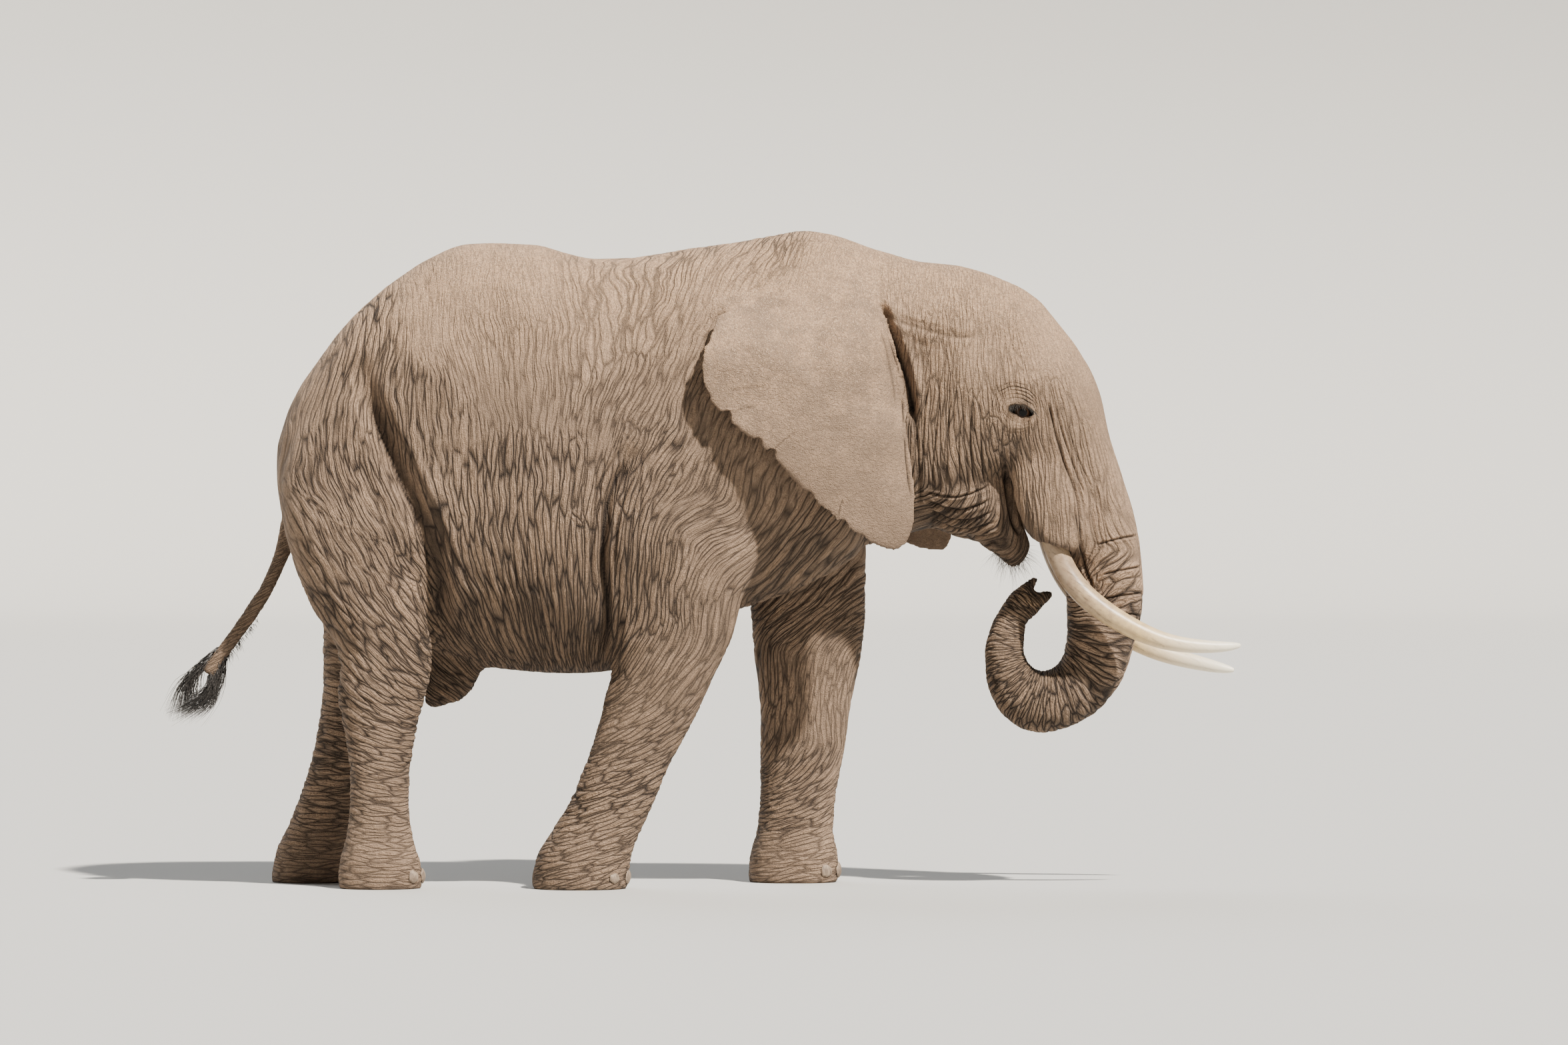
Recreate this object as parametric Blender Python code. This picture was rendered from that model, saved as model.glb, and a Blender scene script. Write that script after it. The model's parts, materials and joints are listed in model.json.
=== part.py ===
"""A walking bull African bush elephant, as a still, life-size model.

Metres, +X towards the trunk, +Y to the animal's left, +Z up, soles on z = 0.
The flesh is modelled whole: lofts for the trunk of the body, the head with its trunk, the jaw,
the tusk sheaths and the four legs are fused, smoothed and shaped with soft strokes. That body is
then reduced and parted into named lengths, and the ears, tail, tusks, eyes and nails are fitted to it.
"""
import math

import bmesh
import bpy
import numpy as np
from mathutils import Matrix, Vector
from mathutils.bvhtree import BVHTree

# ---- driving dimensions, metres ------------------------------------------------------------------
GAP = 0.0004              # clearance between neighbouring pieces
FUSE_VOXEL = 0.016        # grain at which the lofts grow together
BODY_TRIANGLES = 3600     # triangles of the whole flesh before it is parted
LOFT_STEPS = 48           # rings along a body loft
RING_POINTS = 40          # points around a body loft

MID_PLANE = -0.143        # the animal's mid-plane, so that the box's middle lies over the origin
EYE_PLACE = (1.514, 2.240)  # x, z
EYE_RADIUS = 0.040
EYE_DEPTH = 0.027         # its centre below the skin
TUSK_SIDES = 10
TAIL_SIDES = 8
NAIL_SIZE = (0.030, 0.048, 0.044)  # half-sizes: outwards, across, upwards
NAIL_HEIGHT = 0.056       # its middle above the sole
NAIL_INSET = 0.07         # share of the foot's radius by which it is let in
FORE_TOES = (4, 0.52)     # nails on a fore foot, and the angle from one to the next
HIND_TOES = (3, 0.62)

# Trunk of the body: x, height of the back, height of the belly, half-width, height of the widest part
TORSO = (
    (-1.990, 2.06, 1.90, 0.06, 0.50),
    (-1.965, 2.16, 1.74, 0.19, 0.50),
    (-1.900, 2.32, 1.58, 0.30, 0.50),
    (-1.780, 2.50, 1.44, 0.40, 0.50),
    (-1.650, 2.665, 1.32, 0.48, 0.50),
    (-1.500, 2.805, 1.21, 0.535, 0.48),
    (-1.284, 2.956, 1.11, 0.585, 0.46),
    (-1.060, 3.036, 1.045, 0.625, 0.44),
    (-0.780, 3.030, 1.006, 0.665, 0.43),
    (-0.600, 2.980, 1.000, 0.675, 0.43),
    (-0.465, 2.958, 1.006, 0.670, 0.43),
    (-0.276, 2.970, 1.040, 0.645, 0.44),
    (-0.050, 3.008, 1.150, 0.600, 0.46),
    (0.165, 3.037, 1.290, 0.550, 0.48),
    (0.400, 3.082, 1.370, 0.500, 0.48),
    (0.520, 3.096, 1.420, 0.470, 0.48),
    (0.640, 3.074, 1.480, 0.440, 0.48),
    (0.760, 3.035, 1.560, 0.400, 0.48),
)

# Neck, head and trunk as one bending tube:
# front or upper edge x, z; rear or lower edge x, z; half-width
HEAD_AND_TRUNK = (
    (0.460, 3.080, 0.560, 1.560, 0.400),
    (0.660, 3.060, 0.760, 1.600, 0.370),
    (0.860, 2.998, 0.940, 1.640, 0.360),
    (1.050, 2.944, 1.100, 1.690, 0.372),
    (1.236, 2.922, 1.190, 1.720, 0.388),
    (1.425, 2.866, 1.250, 1.760, 0.390),
    (1.585, 2.785, 1.300, 1.800, 0.380),
    (1.708, 2.648, 1.340, 1.850, 0.366),
    (1.802, 2.522, 1.380, 1.900, 0.350),
    (1.880, 2.380, 1.430, 1.925, 0.330),
    (1.917, 2.245, 1.475, 1.910, 0.308),
    (1.940, 2.130, 1.510, 1.860, 0.286),
    (1.980, 2.010, 1.545, 1.800, 0.265),
    (2.022, 1.880, 1.590, 1.720, 0.247),
    (2.056, 1.770, 1.640, 1.650, 0.233),
    (2.088, 1.600, 1.700, 1.550, 0.218),
    (2.104, 1.411, 1.731, 1.411, 0.200),
    (2.098, 1.290, 1.740, 1.285, 0.190),
    (2.071, 1.175, 1.739, 1.175, 0.178),
    (2.018, 0.998, 1.718, 1.068, 0.165),
    (1.929, 0.860, 1.684, 1.030, 0.156),
    (1.803, 0.765, 1.646, 1.011, 0.150),
    (1.640, 0.716, 1.612, 1.008, 0.146),
    (1.505, 0.745, 1.573, 1.032, 0.141),
    (1.411, 0.835, 1.545, 1.072, 0.133),
    (1.361, 0.954, 1.536, 1.112, 0.120),
    (1.349, 1.082, 1.538, 1.165, 0.107),
    (1.374, 1.206, 1.549, 1.240, 0.095),
    (1.424, 1.306, 1.594, 1.318, 0.089),
    (1.470, 1.370, 1.640, 1.345, 0.080),
)

# Fingers of the trunk tip: x, z, half-depth, half-width
UPPER_FINGER = (
    (1.500, 1.335, 0.055, 0.075),
    (1.533, 1.378, 0.043, 0.064),
    (1.560, 1.411, 0.029, 0.048),
    (1.592, 1.443, 0.016, 0.028),
)
LOWER_FINGER = (
    (1.550, 1.300, 0.055, 0.075),
    (1.592, 1.330, 0.042, 0.062),
    (1.629, 1.353, 0.030, 0.047),
    (1.664, 1.374, 0.018, 0.029),
)

# Lower jaw down to the hanging lip: upper edge x, z; lower edge x, z; half-width
JAW = (
    (1.060, 2.250, 0.960, 1.720, 0.250),
    (1.200, 2.200, 1.120, 1.680, 0.290),
    (1.330, 2.100, 1.240, 1.645, 0.275),
    (1.420, 1.960, 1.330, 1.618, 0.225),
    (1.490, 1.870, 1.385, 1.572, 0.155),
    (1.530, 1.750, 1.430, 1.535, 0.112),
    (1.562, 1.665, 1.468, 1.502, 0.086),
    (1.575, 1.590, 1.508, 1.490, 0.060),
)

# Sheath of a tusk: x, distance from the mid-plane, z, half-length, half-width
SHEATH = (
    (1.600, 0.150, 2.180, 0.120, 0.105),
    (1.625, 0.185, 2.020, 0.160, 0.118),
    (1.648, 0.215, 1.860, 0.180, 0.118),
    (1.660, 0.228, 1.740, 0.170, 0.108),
    (1.675, 0.232, 1.650, 0.138, 0.098),
    (1.695, 0.235, 1.588, 0.100, 0.086),
)

# Pouch under the belly: x, z, half-length, half-width
POUCH = (
    (-1.100, 1.180, 0.190, 0.098),
    (-1.135, 1.050, 0.155, 0.095),
    (-1.162, 0.960, 0.148, 0.090),
    (-1.178, 0.892, 0.130, 0.078),
    (-1.188, 0.850, 0.092, 0.054),
)

# Legs: height, front edge x, rear edge x, distance of the axis from the mid-plane, half-width
FORE_RIGHT = (
    (2.350, 0.180, -0.120, 0.300, 0.120),
    (2.000, 0.270, -0.300, 0.325, 0.180),
    (1.720, 0.310, -0.390, 0.335, 0.205),
    (1.570, 0.300, -0.425, 0.340, 0.205),
    (1.380, 0.215, -0.430, 0.340, 0.200),
    (1.190, 0.168, -0.424, 0.335, 0.190),
    (1.017, 0.090, -0.424, 0.330, 0.180),
    (0.860, 0.018, -0.444, 0.325, 0.170),
    (0.720, -0.055, -0.480, 0.320, 0.165),
    (0.560, -0.140, -0.535, 0.315, 0.165),
    (0.400, -0.203, -0.605, 0.310, 0.172),
    (0.260, -0.272, -0.690, 0.305, 0.188),
    (0.130, -0.315, -0.765, 0.305, 0.208),
    (-0.140, -0.330, -0.800, 0.305, 0.218),
)
FORE_LEFT = (
    (2.350, 0.620, 0.300, 0.290, 0.120),
    (2.000, 0.760, 0.240, 0.315, 0.170),
    (1.700, 0.800, 0.220, 0.330, 0.195),
    (1.500, 0.798, 0.232, 0.335, 0.200),
    (1.300, 0.795, 0.245, 0.335, 0.195),
    (1.160, 0.786, 0.254, 0.332, 0.188),
    (1.010, 0.762, 0.270, 0.328, 0.180),
    (0.860, 0.728, 0.287, 0.322, 0.170),
    (0.690, 0.704, 0.291, 0.316, 0.162),
    (0.520, 0.672, 0.291, 0.312, 0.160),
    (0.370, 0.648, 0.288, 0.308, 0.164),
    (0.240, 0.640, 0.275, 0.305, 0.182),
    (0.120, 0.665, 0.240, 0.305, 0.205),
    (-0.140, 0.675, 0.225, 0.305, 0.216),
)
HIND_RIGHT = (
    (2.400, -1.450, -1.700, 0.235, 0.100),
    (2.150, -1.370, -1.870, 0.268, 0.185),
    (1.900, -1.330, -1.955, 0.296, 0.232),
    (1.700, -1.285, -1.940, 0.315, 0.250),
    (1.570, -1.252, -1.907, 0.315, 0.245),
    (1.430, -1.228, -1.862, 0.312, 0.235),
    (1.290, -1.212, -1.795, 0.310, 0.220),
    (1.150, -1.236, -1.700, 0.306, 0.195),
    (1.010, -1.250, -1.676, 0.302, 0.176),
    (0.915, -1.274, -1.694, 0.298, 0.164),
    (0.820, -1.298, -1.672, 0.295, 0.152),
    (0.700, -1.326, -1.650, 0.290, 0.142),
    (0.540, -1.350, -1.632, 0.288, 0.138),
    (0.380, -1.354, -1.634, 0.285, 0.142),
    (0.240, -1.338, -1.652, 0.285, 0.158),
    (0.120, -1.300, -1.684, 0.285, 0.178),
    (-0.140, -1.280, -1.700, 0.285, 0.188),
)
HIND_LEFT = (
    (2.400, -1.450, -1.700, 0.235, 0.100),
    (2.150, -1.370, -1.870, 0.268, 0.185),
    (1.900, -1.325, -1.950, 0.296, 0.232),
    (1.700, -1.285, -1.925, 0.315, 0.250),
    (1.500, -1.270, -1.860, 0.312, 0.238),
    (1.290, -1.330, -1.796, 0.308, 0.212),
    (1.120, -1.400, -1.790, 0.303, 0.184),
    (0.950, -1.440, -1.790, 0.298, 0.164),
    (0.750, -1.496, -1.812, 0.292, 0.145),
    (0.590, -1.548, -1.844, 0.288, 0.138),
    (0.430, -1.598, -1.894, 0.285, 0.142),
    (0.270, -1.626, -1.954, 0.285, 0.158),
    (0.130, -1.640, -2.020, 0.285, 0.178),
    (-0.140, -1.640, -2.055, 0.285, 0.188),
)

# Ear outline seen from the side, x, z, from the top of its root round the back and down to the lobe
EAR_OUTLINE = (
    (0.830, 2.790), (0.740, 2.930), (0.560, 3.000), (0.340, 2.960), (0.165, 2.845), (0.075, 2.650),
    (-0.004, 2.452), (0.038, 2.300), (0.136, 2.186), (0.291, 2.080), (0.417, 1.948), (0.606, 1.752),
    (0.795, 1.618), (0.930, 1.558), (0.995, 1.590), (1.030, 1.700), (1.040, 1.780), (1.012, 1.978),
    (0.986, 2.167), (0.962, 2.356), (0.930, 2.514), (0.880, 2.665),
)
EAR_POINTS = 30
EAR_RINGS = (0.45, 0.80, 1.0)
EAR_CENTRE = (0.560, 2.330)
EAR_EDGE = 0.018          # thickness at the free edge
EAR_MIDDLE = 0.034        # thickness in the middle
EAR_FRONT_EDGE = (        # z, x of the line from the lobe up to the root
    (1.56, 0.960), (1.65, 1.020), (1.78, 1.040), (1.98, 1.010), (2.17, 0.985), (2.36, 0.960),
    (2.51, 0.930), (2.67, 0.875), (2.77, 0.830),
)
EAR_ROOT_HEIGHTS = (2.12, 2.30, 2.72, 2.84)  # z between which the root fades in, and out again
EAR_ROOT_OFFSET = (0.435, 0.105)  # distance of the front edge from the mid-plane; less at the root
EAR_STEP = (0.03, 0.10, 0.07)     # how far the ear steps out; more at the root; over what length
EAR_SPREAD = math.tan(math.radians(15))
EAR_BELLY = 0.035         # bulge of the middle
EAR_FOLD = (2.50, 2.90)   # z between which the top folds down onto the nape
NAPE = (2.32, 0.76, 0.375)  # z of the middle, half-height and half-width of the neck under the ear
EAR_HINGE = (0.95, 0.40, 2.45)
LEFT_EAR_SWING = math.radians(20)
LEFT_EAR_PITCH = math.radians(-15.5)
LEFT_EAR_DROP = 0.035

# Tusks: x, distance from the mid-plane, z, radius
TUSK_RIGHT = (
    (1.655, 0.222, 1.665, 0.056),
    (1.709, 0.236, 1.521, 0.056),
    (1.765, 0.252, 1.432, 0.055),
    (1.835, 0.270, 1.354, 0.0540),
    (1.961, 0.292, 1.263, 0.0510),
    (2.093, 0.300, 1.194, 0.0460),
    (2.197, 0.296, 1.157, 0.0405),
    (2.307, 0.284, 1.138, 0.0350),
    (2.433, 0.262, 1.131, 0.0275),
    (2.512, 0.246, 1.135, 0.0190),
    (2.548, 0.238, 1.139, 0.0080),
)
TUSK_LEFT = (
    (1.655, 0.222, 1.665, 0.056),
    (1.706, 0.236, 1.521, 0.056),
    (1.760, 0.252, 1.425, 0.055),
    (1.830, 0.270, 1.335, 0.0540),
    (1.952, 0.292, 1.222, 0.0510),
    (2.090, 0.302, 1.137, 0.0465),
    (2.200, 0.300, 1.090, 0.0425),
    (2.310, 0.290, 1.058, 0.0385),
    (2.430, 0.270, 1.030, 0.0310),
    (2.508, 0.256, 1.014, 0.0205),
    (2.544, 0.248, 1.009, 0.0085),
)

# Tail and its brush: x, z, half-depth, half-width
TAIL = (
    (-1.880, 2.020, 0.060, 0.075),
    (-1.925, 1.860, 0.050, 0.060),
    (-1.938, 1.740, 0.042, 0.048),
    (-1.952, 1.630, 0.039, 0.042),
    (-1.988, 1.510, 0.038, 0.038),
    (-2.044, 1.395, 0.037, 0.035),
    (-2.116, 1.280, 0.036, 0.032),
    (-2.196, 1.170, 0.034, 0.029),
    (-2.262, 1.080, 0.034, 0.026),
    (-2.322, 1.000, 0.046, 0.024),
)
BRUSH = (
    (-2.3225, 0.9993, 0.046, 0.024),
    (-2.360, 0.950, 0.078, 0.034),
    (-2.400, 0.900, 0.090, 0.036),
    (-2.450, 0.845, 0.072, 0.030),
    (-2.505, 0.795, 0.036, 0.018),
    (-2.552, 0.752, 0.008, 0.006),
)

# Soft strokes on the flesh: centre x, distance from the mid-plane, z; reach; height (dents are negative)
STROKES = (
    (1.440, 0.390, 2.560, 0.130, -0.032),    # hollow of the temple
    (1.300, 0.400, 2.640, 0.160, -0.012),
    (1.520, 0.370, 2.340, 0.085, 0.022),     # brow above the eye
    (1.512, 0.360, 2.242, 0.055, -0.010),    # socket
    (1.390, 0.390, 2.180, 0.110, 0.016),     # cheek-bone
    (1.230, 0.400, 2.420, 0.150, 0.020),
    (1.250, 0.000, 2.930, 0.240, 0.006),     # crown
    (1.180, 0.330, 1.950, 0.150, 0.015),     # muscle of the jaw
    (0.980, 0.400, 2.520, 0.100, -0.040),    # behind the ear's hinge
    (-1.330, 0.560, 2.480, 0.200, 0.030),    # point of the hip
    (-1.700, 0.420, 2.300, 0.220, 0.020),    # rump
    (-1.450, 0.560, 1.800, 0.260, 0.030),    # thigh
    (-1.130, 0.620, 1.950, 0.200, -0.030),   # flank in front of the thigh
    (-1.020, 0.560, 2.620, 0.220, -0.025),   # hollow of the loin
    (-0.620, 0.690, 1.650, 0.380, 0.020),    # belly
    (0.120, 0.500, 2.150, 0.260, 0.030),     # shoulder blade
    (-0.080, 0.520, 1.620, 0.200, 0.022),    # muscle above the elbow
    (-0.420, 0.560, 1.480, 0.120, -0.030),   # behind the elbow
)

# Furrows drawn on both flanks in side view: line of x, z; width; depth
FURROWS = (
    (((-1.583, 2.420), (-1.410, 2.010), (-1.252, 1.660), (-1.195, 1.240)), 0.065, 0.055),
    (((-0.310, 2.030), (-0.380, 1.900), (-0.420, 1.760), (-0.436, 1.540), (-0.420, 1.020)),
     0.055, 0.045),
)
FLANK = (0.24, 0.38)      # furrows fade in between these distances from the mid-plane

# Where the flesh is parted, in side view, x, z
FORE_RIGHT_CUT = ((-0.47, 0.985), (-0.41, 1.32), (-0.12, 1.72), (0.20, 1.76), (0.38, 1.50), (0.38, -0.2),
                  (-1.0, -0.2), (-1.0, 0.88))
FORE_LEFT_CUT = ((0.10, 1.10), (0.14, 1.50), (0.34, 1.80), (0.66, 1.82), (0.90, 1.56), (0.90, -0.2),
                 (0.10, -0.2))
HIND_CUT = ((-2.20, 1.66), (-1.90, 1.98), (-1.50, 2.02), (-1.28, 1.72), (-1.12, 1.18), (-1.12, -0.2),
            (-2.20, -0.2))
LEG_INNER = 0.11          # distance from the mid-plane at which a leg is parted
JAW_CUT = ((0.98, 1.40), (0.98, 1.80), (1.20, 1.92), (1.43, 1.93), (1.485, 1.80), (1.54, 1.68),
           (1.60, 1.56), (1.62, 1.40))
TRUNK_BASE_CUT = ((1.52, 1.93), (2.20, 2.06), (2.30, 1.30), (1.54, 1.30))
HEAD_CUT = ((1.00, 1.40), (1.05, 3.20), (2.50, 3.20), (2.50, 1.40))
NECK_CUT = ((0.62, 1.30), (0.62, 3.30), (1.30, 3.30), (1.30, 1.30))
TRUNK_CUTS = (            # lengths of the trunk, between rows of its table
    ("trunk_tip", 26, 29), ("trunk_lower", 23, 26), ("trunk_bend", 21, 23), ("trunk_middle", 18, 21),
    ("trunk_upper", 16, 18),
)
FINGERS_CUT = ((1.56, 1.466), (1.72, 1.42), (1.72, 1.30))
TAIL_CUT = ((-2.50, 0.80), (-2.40, 1.52), (-1.90, 1.30), (-2.05, 0.80))

HIDE_COLOUR = (0.205, 0.165, 0.138, 1.0)
IVORY_COLOUR = (0.760, 0.680, 0.540, 1.0)
EYE_COLOUR = (0.020, 0.012, 0.008, 1.0)
NAIL_COLOUR = (0.330, 0.280, 0.220, 1.0)
HAIR_COLOUR = (0.030, 0.026, 0.024, 1.0)


# ---- small tools ---------------------------------------------------------------------------------
def clear_scene():
    for old in list(bpy.data.objects):
        bpy.data.objects.remove(old)


def material(name, colour, roughness):
    made = bpy.data.materials.new(name)
    made.use_nodes = True
    shader = made.node_tree.nodes["Principled BSDF"]
    shader.inputs["Base Color"].default_value = colour
    shader.inputs["Roughness"].default_value = roughness
    shader.inputs["Metallic"].default_value = 0.0
    return made


def add_mesh(name, points, faces):
    mesh = bpy.data.meshes.new(name)
    mesh.from_pydata([tuple(p) for p in points], [], faces)
    mesh.validate()
    mesh.update()
    thing = bpy.data.objects.new(name, mesh)
    bpy.context.scene.collection.objects.link(thing)
    return thing


def remove(thing):
    bpy.data.objects.remove(thing)


def copy_of(thing, name):
    twin = thing.copy()
    twin.data = thing.data.copy()
    twin.name = name
    bpy.context.scene.collection.objects.link(twin)
    return twin


def apply_modifiers(thing):
    """Turn an object's modifiers into its mesh."""
    graph = bpy.context.evaluated_depsgraph_get()
    mesh = bpy.data.meshes.new_from_object(thing.evaluated_get(graph))
    thing.modifiers.clear()
    thing.data = mesh
    return thing


def boolean(thing, other, operation):
    cut = thing.modifiers.new("cut", "BOOLEAN")
    cut.operation = operation
    cut.solver = "EXACT"
    cut.object = other
    return apply_modifiers(thing)


def smooth_rows(rows, count):
    """Rows of a table at `count` even steps of its index, on smooth curves without overshoot."""
    table = np.array(rows, dtype=float)
    index = np.arange(len(table))
    slope = np.diff(table, axis=0)
    tangent = np.zeros_like(table)
    inner = slope[:-1] * slope[1:]
    mean = (slope[:-1] + slope[1:]) / 2
    harmonic = np.divide(2 * inner, slope[:-1] + slope[1:], out=np.zeros_like(inner), where=inner > 0)
    tangent[1:-1] = np.where(inner > 0, (mean + harmonic) / 2, 0.0)
    tangent[0] = slope[0]
    tangent[-1] = slope[-1]
    at = np.linspace(0, len(table) - 1, count)
    left = np.minimum(at.astype(int), len(table) - 2)
    t = (at - index[left])[:, None]
    start, end = table[left], table[left + 1]
    first, last = tangent[left], tangent[left + 1]
    return (start * (1 + 2 * t) * (1 - t) ** 2 + first * t * (1 - t) ** 2
            + end * t * t * (3 - 2 * t) + last * t * t * (t - 1))


def round_power(value, power):
    return math.copysign(abs(value) ** power, value)


def loft(name, rings):
    """A closed skin over rings of equal length, with a fan at either end."""
    count = len(rings[0])
    points = [p for ring in rings for p in ring]
    faces = []
    for r in range(len(rings) - 1):
        for k in range(count):
            after = (k + 1) % count
            low, high = r * count, (r + 1) * count
            faces.append((low + k, low + after, high + after, high + k))
    for ring, turned in ((0, True), (len(rings) - 1, False)):
        middle = len(points)
        points.append(sum((Vector(p) for p in rings[ring]), Vector()) / count)
        for k in range(count):
            pair = (ring * count + k, ring * count + (k + 1) % count)
            faces.append((pair[1], pair[0], middle) if turned else (pair[0], pair[1], middle))
    thing = add_mesh(name, points, faces)
    shaped = bmesh.new()
    shaped.from_mesh(thing.data)
    bmesh.ops.recalc_face_normals(shaped, faces=shaped.faces)
    shaped.to_mesh(thing.data)
    shaped.free()
    return thing


def oval(centre, along, across, half_along, half_across, count, power=0.92):
    """One ring: an oval in the plane of two axes; a power under 1 makes it squarer."""
    ring = []
    for k in range(count):
        angle = 2 * math.pi * k / count
        ring.append(centre + along * half_along * round_power(math.cos(angle), power)
                    + across * half_across * round_power(math.sin(angle), power))
    return ring


# ---- lofts of the flesh --------------------------------------------------------------------------
def torso_loft():
    rings = []
    for x, top, bottom, half_width, widest in smooth_rows(TORSO, LOFT_STEPS):
        middle = bottom + (top - bottom) * widest
        ring = []
        for k in range(RING_POINTS):
            angle = 2 * math.pi * k / RING_POINTS
            rise = (top - middle) if math.sin(angle) > 0 else (middle - bottom)
            ring.append(Vector((x, half_width * round_power(math.cos(angle), 0.92),
                                middle + rise * round_power(math.sin(angle), 0.96))))
        rings.append(ring)
    return loft("torso_loft", rings)


def edge_loft(name, rows, steps):
    """A loft in the mid-plane whose rows give both edges of its side view and a half-width."""
    rings = []
    for x_a, z_a, x_b, z_b, half_width in smooth_rows(rows, steps):
        centre = Vector(((x_a + x_b) / 2, 0, (z_a + z_b) / 2))
        span = Vector((x_a - x_b, 0, z_a - z_b))
        rings.append(oval(centre, span.normalized(), Vector((0, 1, 0)), span.length / 2, half_width,
                          RING_POINTS))
    return loft(name, rings)


def path_loft(name, centres, halves, count, power=1.0):
    """A loft along 3-D centres, each ring square to the path; halves are (in side view, sideways)."""
    rings = []
    for k, centre in enumerate(centres):
        ahead = centres[min(k + 1, len(centres) - 1)] - centres[max(k - 1, 0)]
        side = Vector((0, 1, 0))
        along = side.cross(ahead).normalized()
        across = ahead.cross(along).normalized()
        rings.append(oval(centre, along, across, halves[k][0], halves[k][1], count, power))
    return loft(name, rings)


def mid_plane_path(name, rows, steps, count):
    table = smooth_rows(rows, steps)
    centres = [Vector((x, 0, z)) for x, z, deep, wide in table]
    return path_loft(name, centres, [(deep, wide) for x, z, deep, wide in table], count)


def level_loft(name, rows, side, steps):
    """A leg: level rings, each from its front and rear edge."""
    rings = []
    for z, front, rear, offset, half_width in smooth_rows(rows, steps):
        centre = Vector(((front + rear) / 2, side * offset, z))
        rings.append(oval(centre, Vector((1, 0, 0)), Vector((0, 1, 0)), (front - rear) / 2, half_width,
                          RING_POINTS))
    return loft(name, rings)


def sheath_loft(side):
    rings = []
    for x, offset, z, half_length, half_width in smooth_rows(SHEATH, 14):
        centre = Vector((x, side * offset, z))
        rings.append(oval(centre, Vector((1, 0, -0.25)).normalized(), Vector((0, 1, 0)), half_length,
                          half_width, 24))
    return loft("sheath_loft", rings)


def pouch_loft():
    rings = []
    for x, z, half_length, half_width in smooth_rows(POUCH, 10):
        rings.append(oval(Vector((x, 0, z)), Vector((1, 0, 0.35)).normalized(), Vector((0, 1, 0)),
                          half_length, half_width, 24))
    return loft("pouch_loft", rings)


# ---- shaping the fused body ----------------------------------------------------------------------
def vertex_arrays(mesh):
    points = np.empty(len(mesh.vertices) * 3)
    normals = np.empty(len(mesh.vertices) * 3)
    mesh.vertices.foreach_get("co", points)
    mesh.vertices.foreach_get("normal", normals)
    return points.reshape(-1, 3), normals.reshape(-1, 3)


def distance_to_path(points, path):
    nearest = np.full(len(points), 1e9)
    for start, end in zip(path[:-1], path[1:]):
        start, end = np.array(start), np.array(end)
        run = end - start
        t = np.clip((points - start) @ run / (run @ run), 0, 1)
        nearest = np.minimum(nearest, np.linalg.norm(points - start - t[:, None] * run, axis=1))
    return nearest


def sculpt(body):
    """Raise and lower the flesh along its normals, alike on both sides."""
    points, normals = vertex_arrays(body.data)
    folded = points * (1, 0, 1) + np.abs(points) * (0, 1, 0)
    lift = np.zeros(len(points))
    for x, offset, z, reach, height in STROKES:
        away = np.linalg.norm(folded - (x, offset, z), axis=1)
        lift += height * np.exp(-(away / reach) ** 2)
    flank = np.clip((folded[:, 1] - FLANK[0]) / (FLANK[1] - FLANK[0]), 0, 1)
    for line, width, depth in FURROWS:
        lift -= depth * flank * np.exp(-(distance_to_path(points[:, [0, 2]], line) / width) ** 2)
    body.data.vertices.foreach_set("co", (points + normals * lift[:, None]).ravel())
    body.data.update()


def fused_body():
    lofts = [
        torso_loft(),
        edge_loft("head_loft", HEAD_AND_TRUNK, 96),
        edge_loft("jaw_loft", JAW, 24),
        mid_plane_path("upper_finger_loft", UPPER_FINGER, 10, 20),
        mid_plane_path("lower_finger_loft", LOWER_FINGER, 10, 20),
        sheath_loft(-1),
        sheath_loft(1),
        pouch_loft(),
        level_loft("fore_right_loft", FORE_RIGHT, -1, LOFT_STEPS),
        level_loft("fore_left_loft", FORE_LEFT, 1, LOFT_STEPS),
        level_loft("hind_right_loft", HIND_RIGHT, -1, LOFT_STEPS),
        level_loft("hind_left_loft", HIND_LEFT, 1, LOFT_STEPS),
    ]
    points = []
    faces = []
    for piece in lofts:
        base = len(points)
        points += [v.co.copy() for v in piece.data.vertices]
        faces += [tuple(base + i for i in polygon.vertices) for polygon in piece.data.polygons]
        remove(piece)
    body = add_mesh("flesh", points, faces)
    fuse = body.modifiers.new("fuse", "REMESH")
    fuse.mode = "VOXEL"
    fuse.voxel_size = FUSE_VOXEL
    settle = body.modifiers.new("settle", "SMOOTH")
    settle.factor = 0.5
    settle.iterations = 9
    apply_modifiers(body)
    sculpt(body)
    triangles = 2 * len(body.data.polygons)
    again = body.modifiers.new("again", "SMOOTH")
    again.factor = 0.5
    again.iterations = 2
    fewer = body.modifiers.new("fewer", "DECIMATE")
    fewer.ratio = BODY_TRIANGLES / triangles
    fewer.use_collapse_triangulate = True
    apply_modifiers(body)
    floor = slab("floor", ((-3, -1), (3, -1), (3, 0), (-3, 0)), -2, 2, 0)
    boolean(body, floor, "DIFFERENCE")
    remove(floor)
    return body


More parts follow.
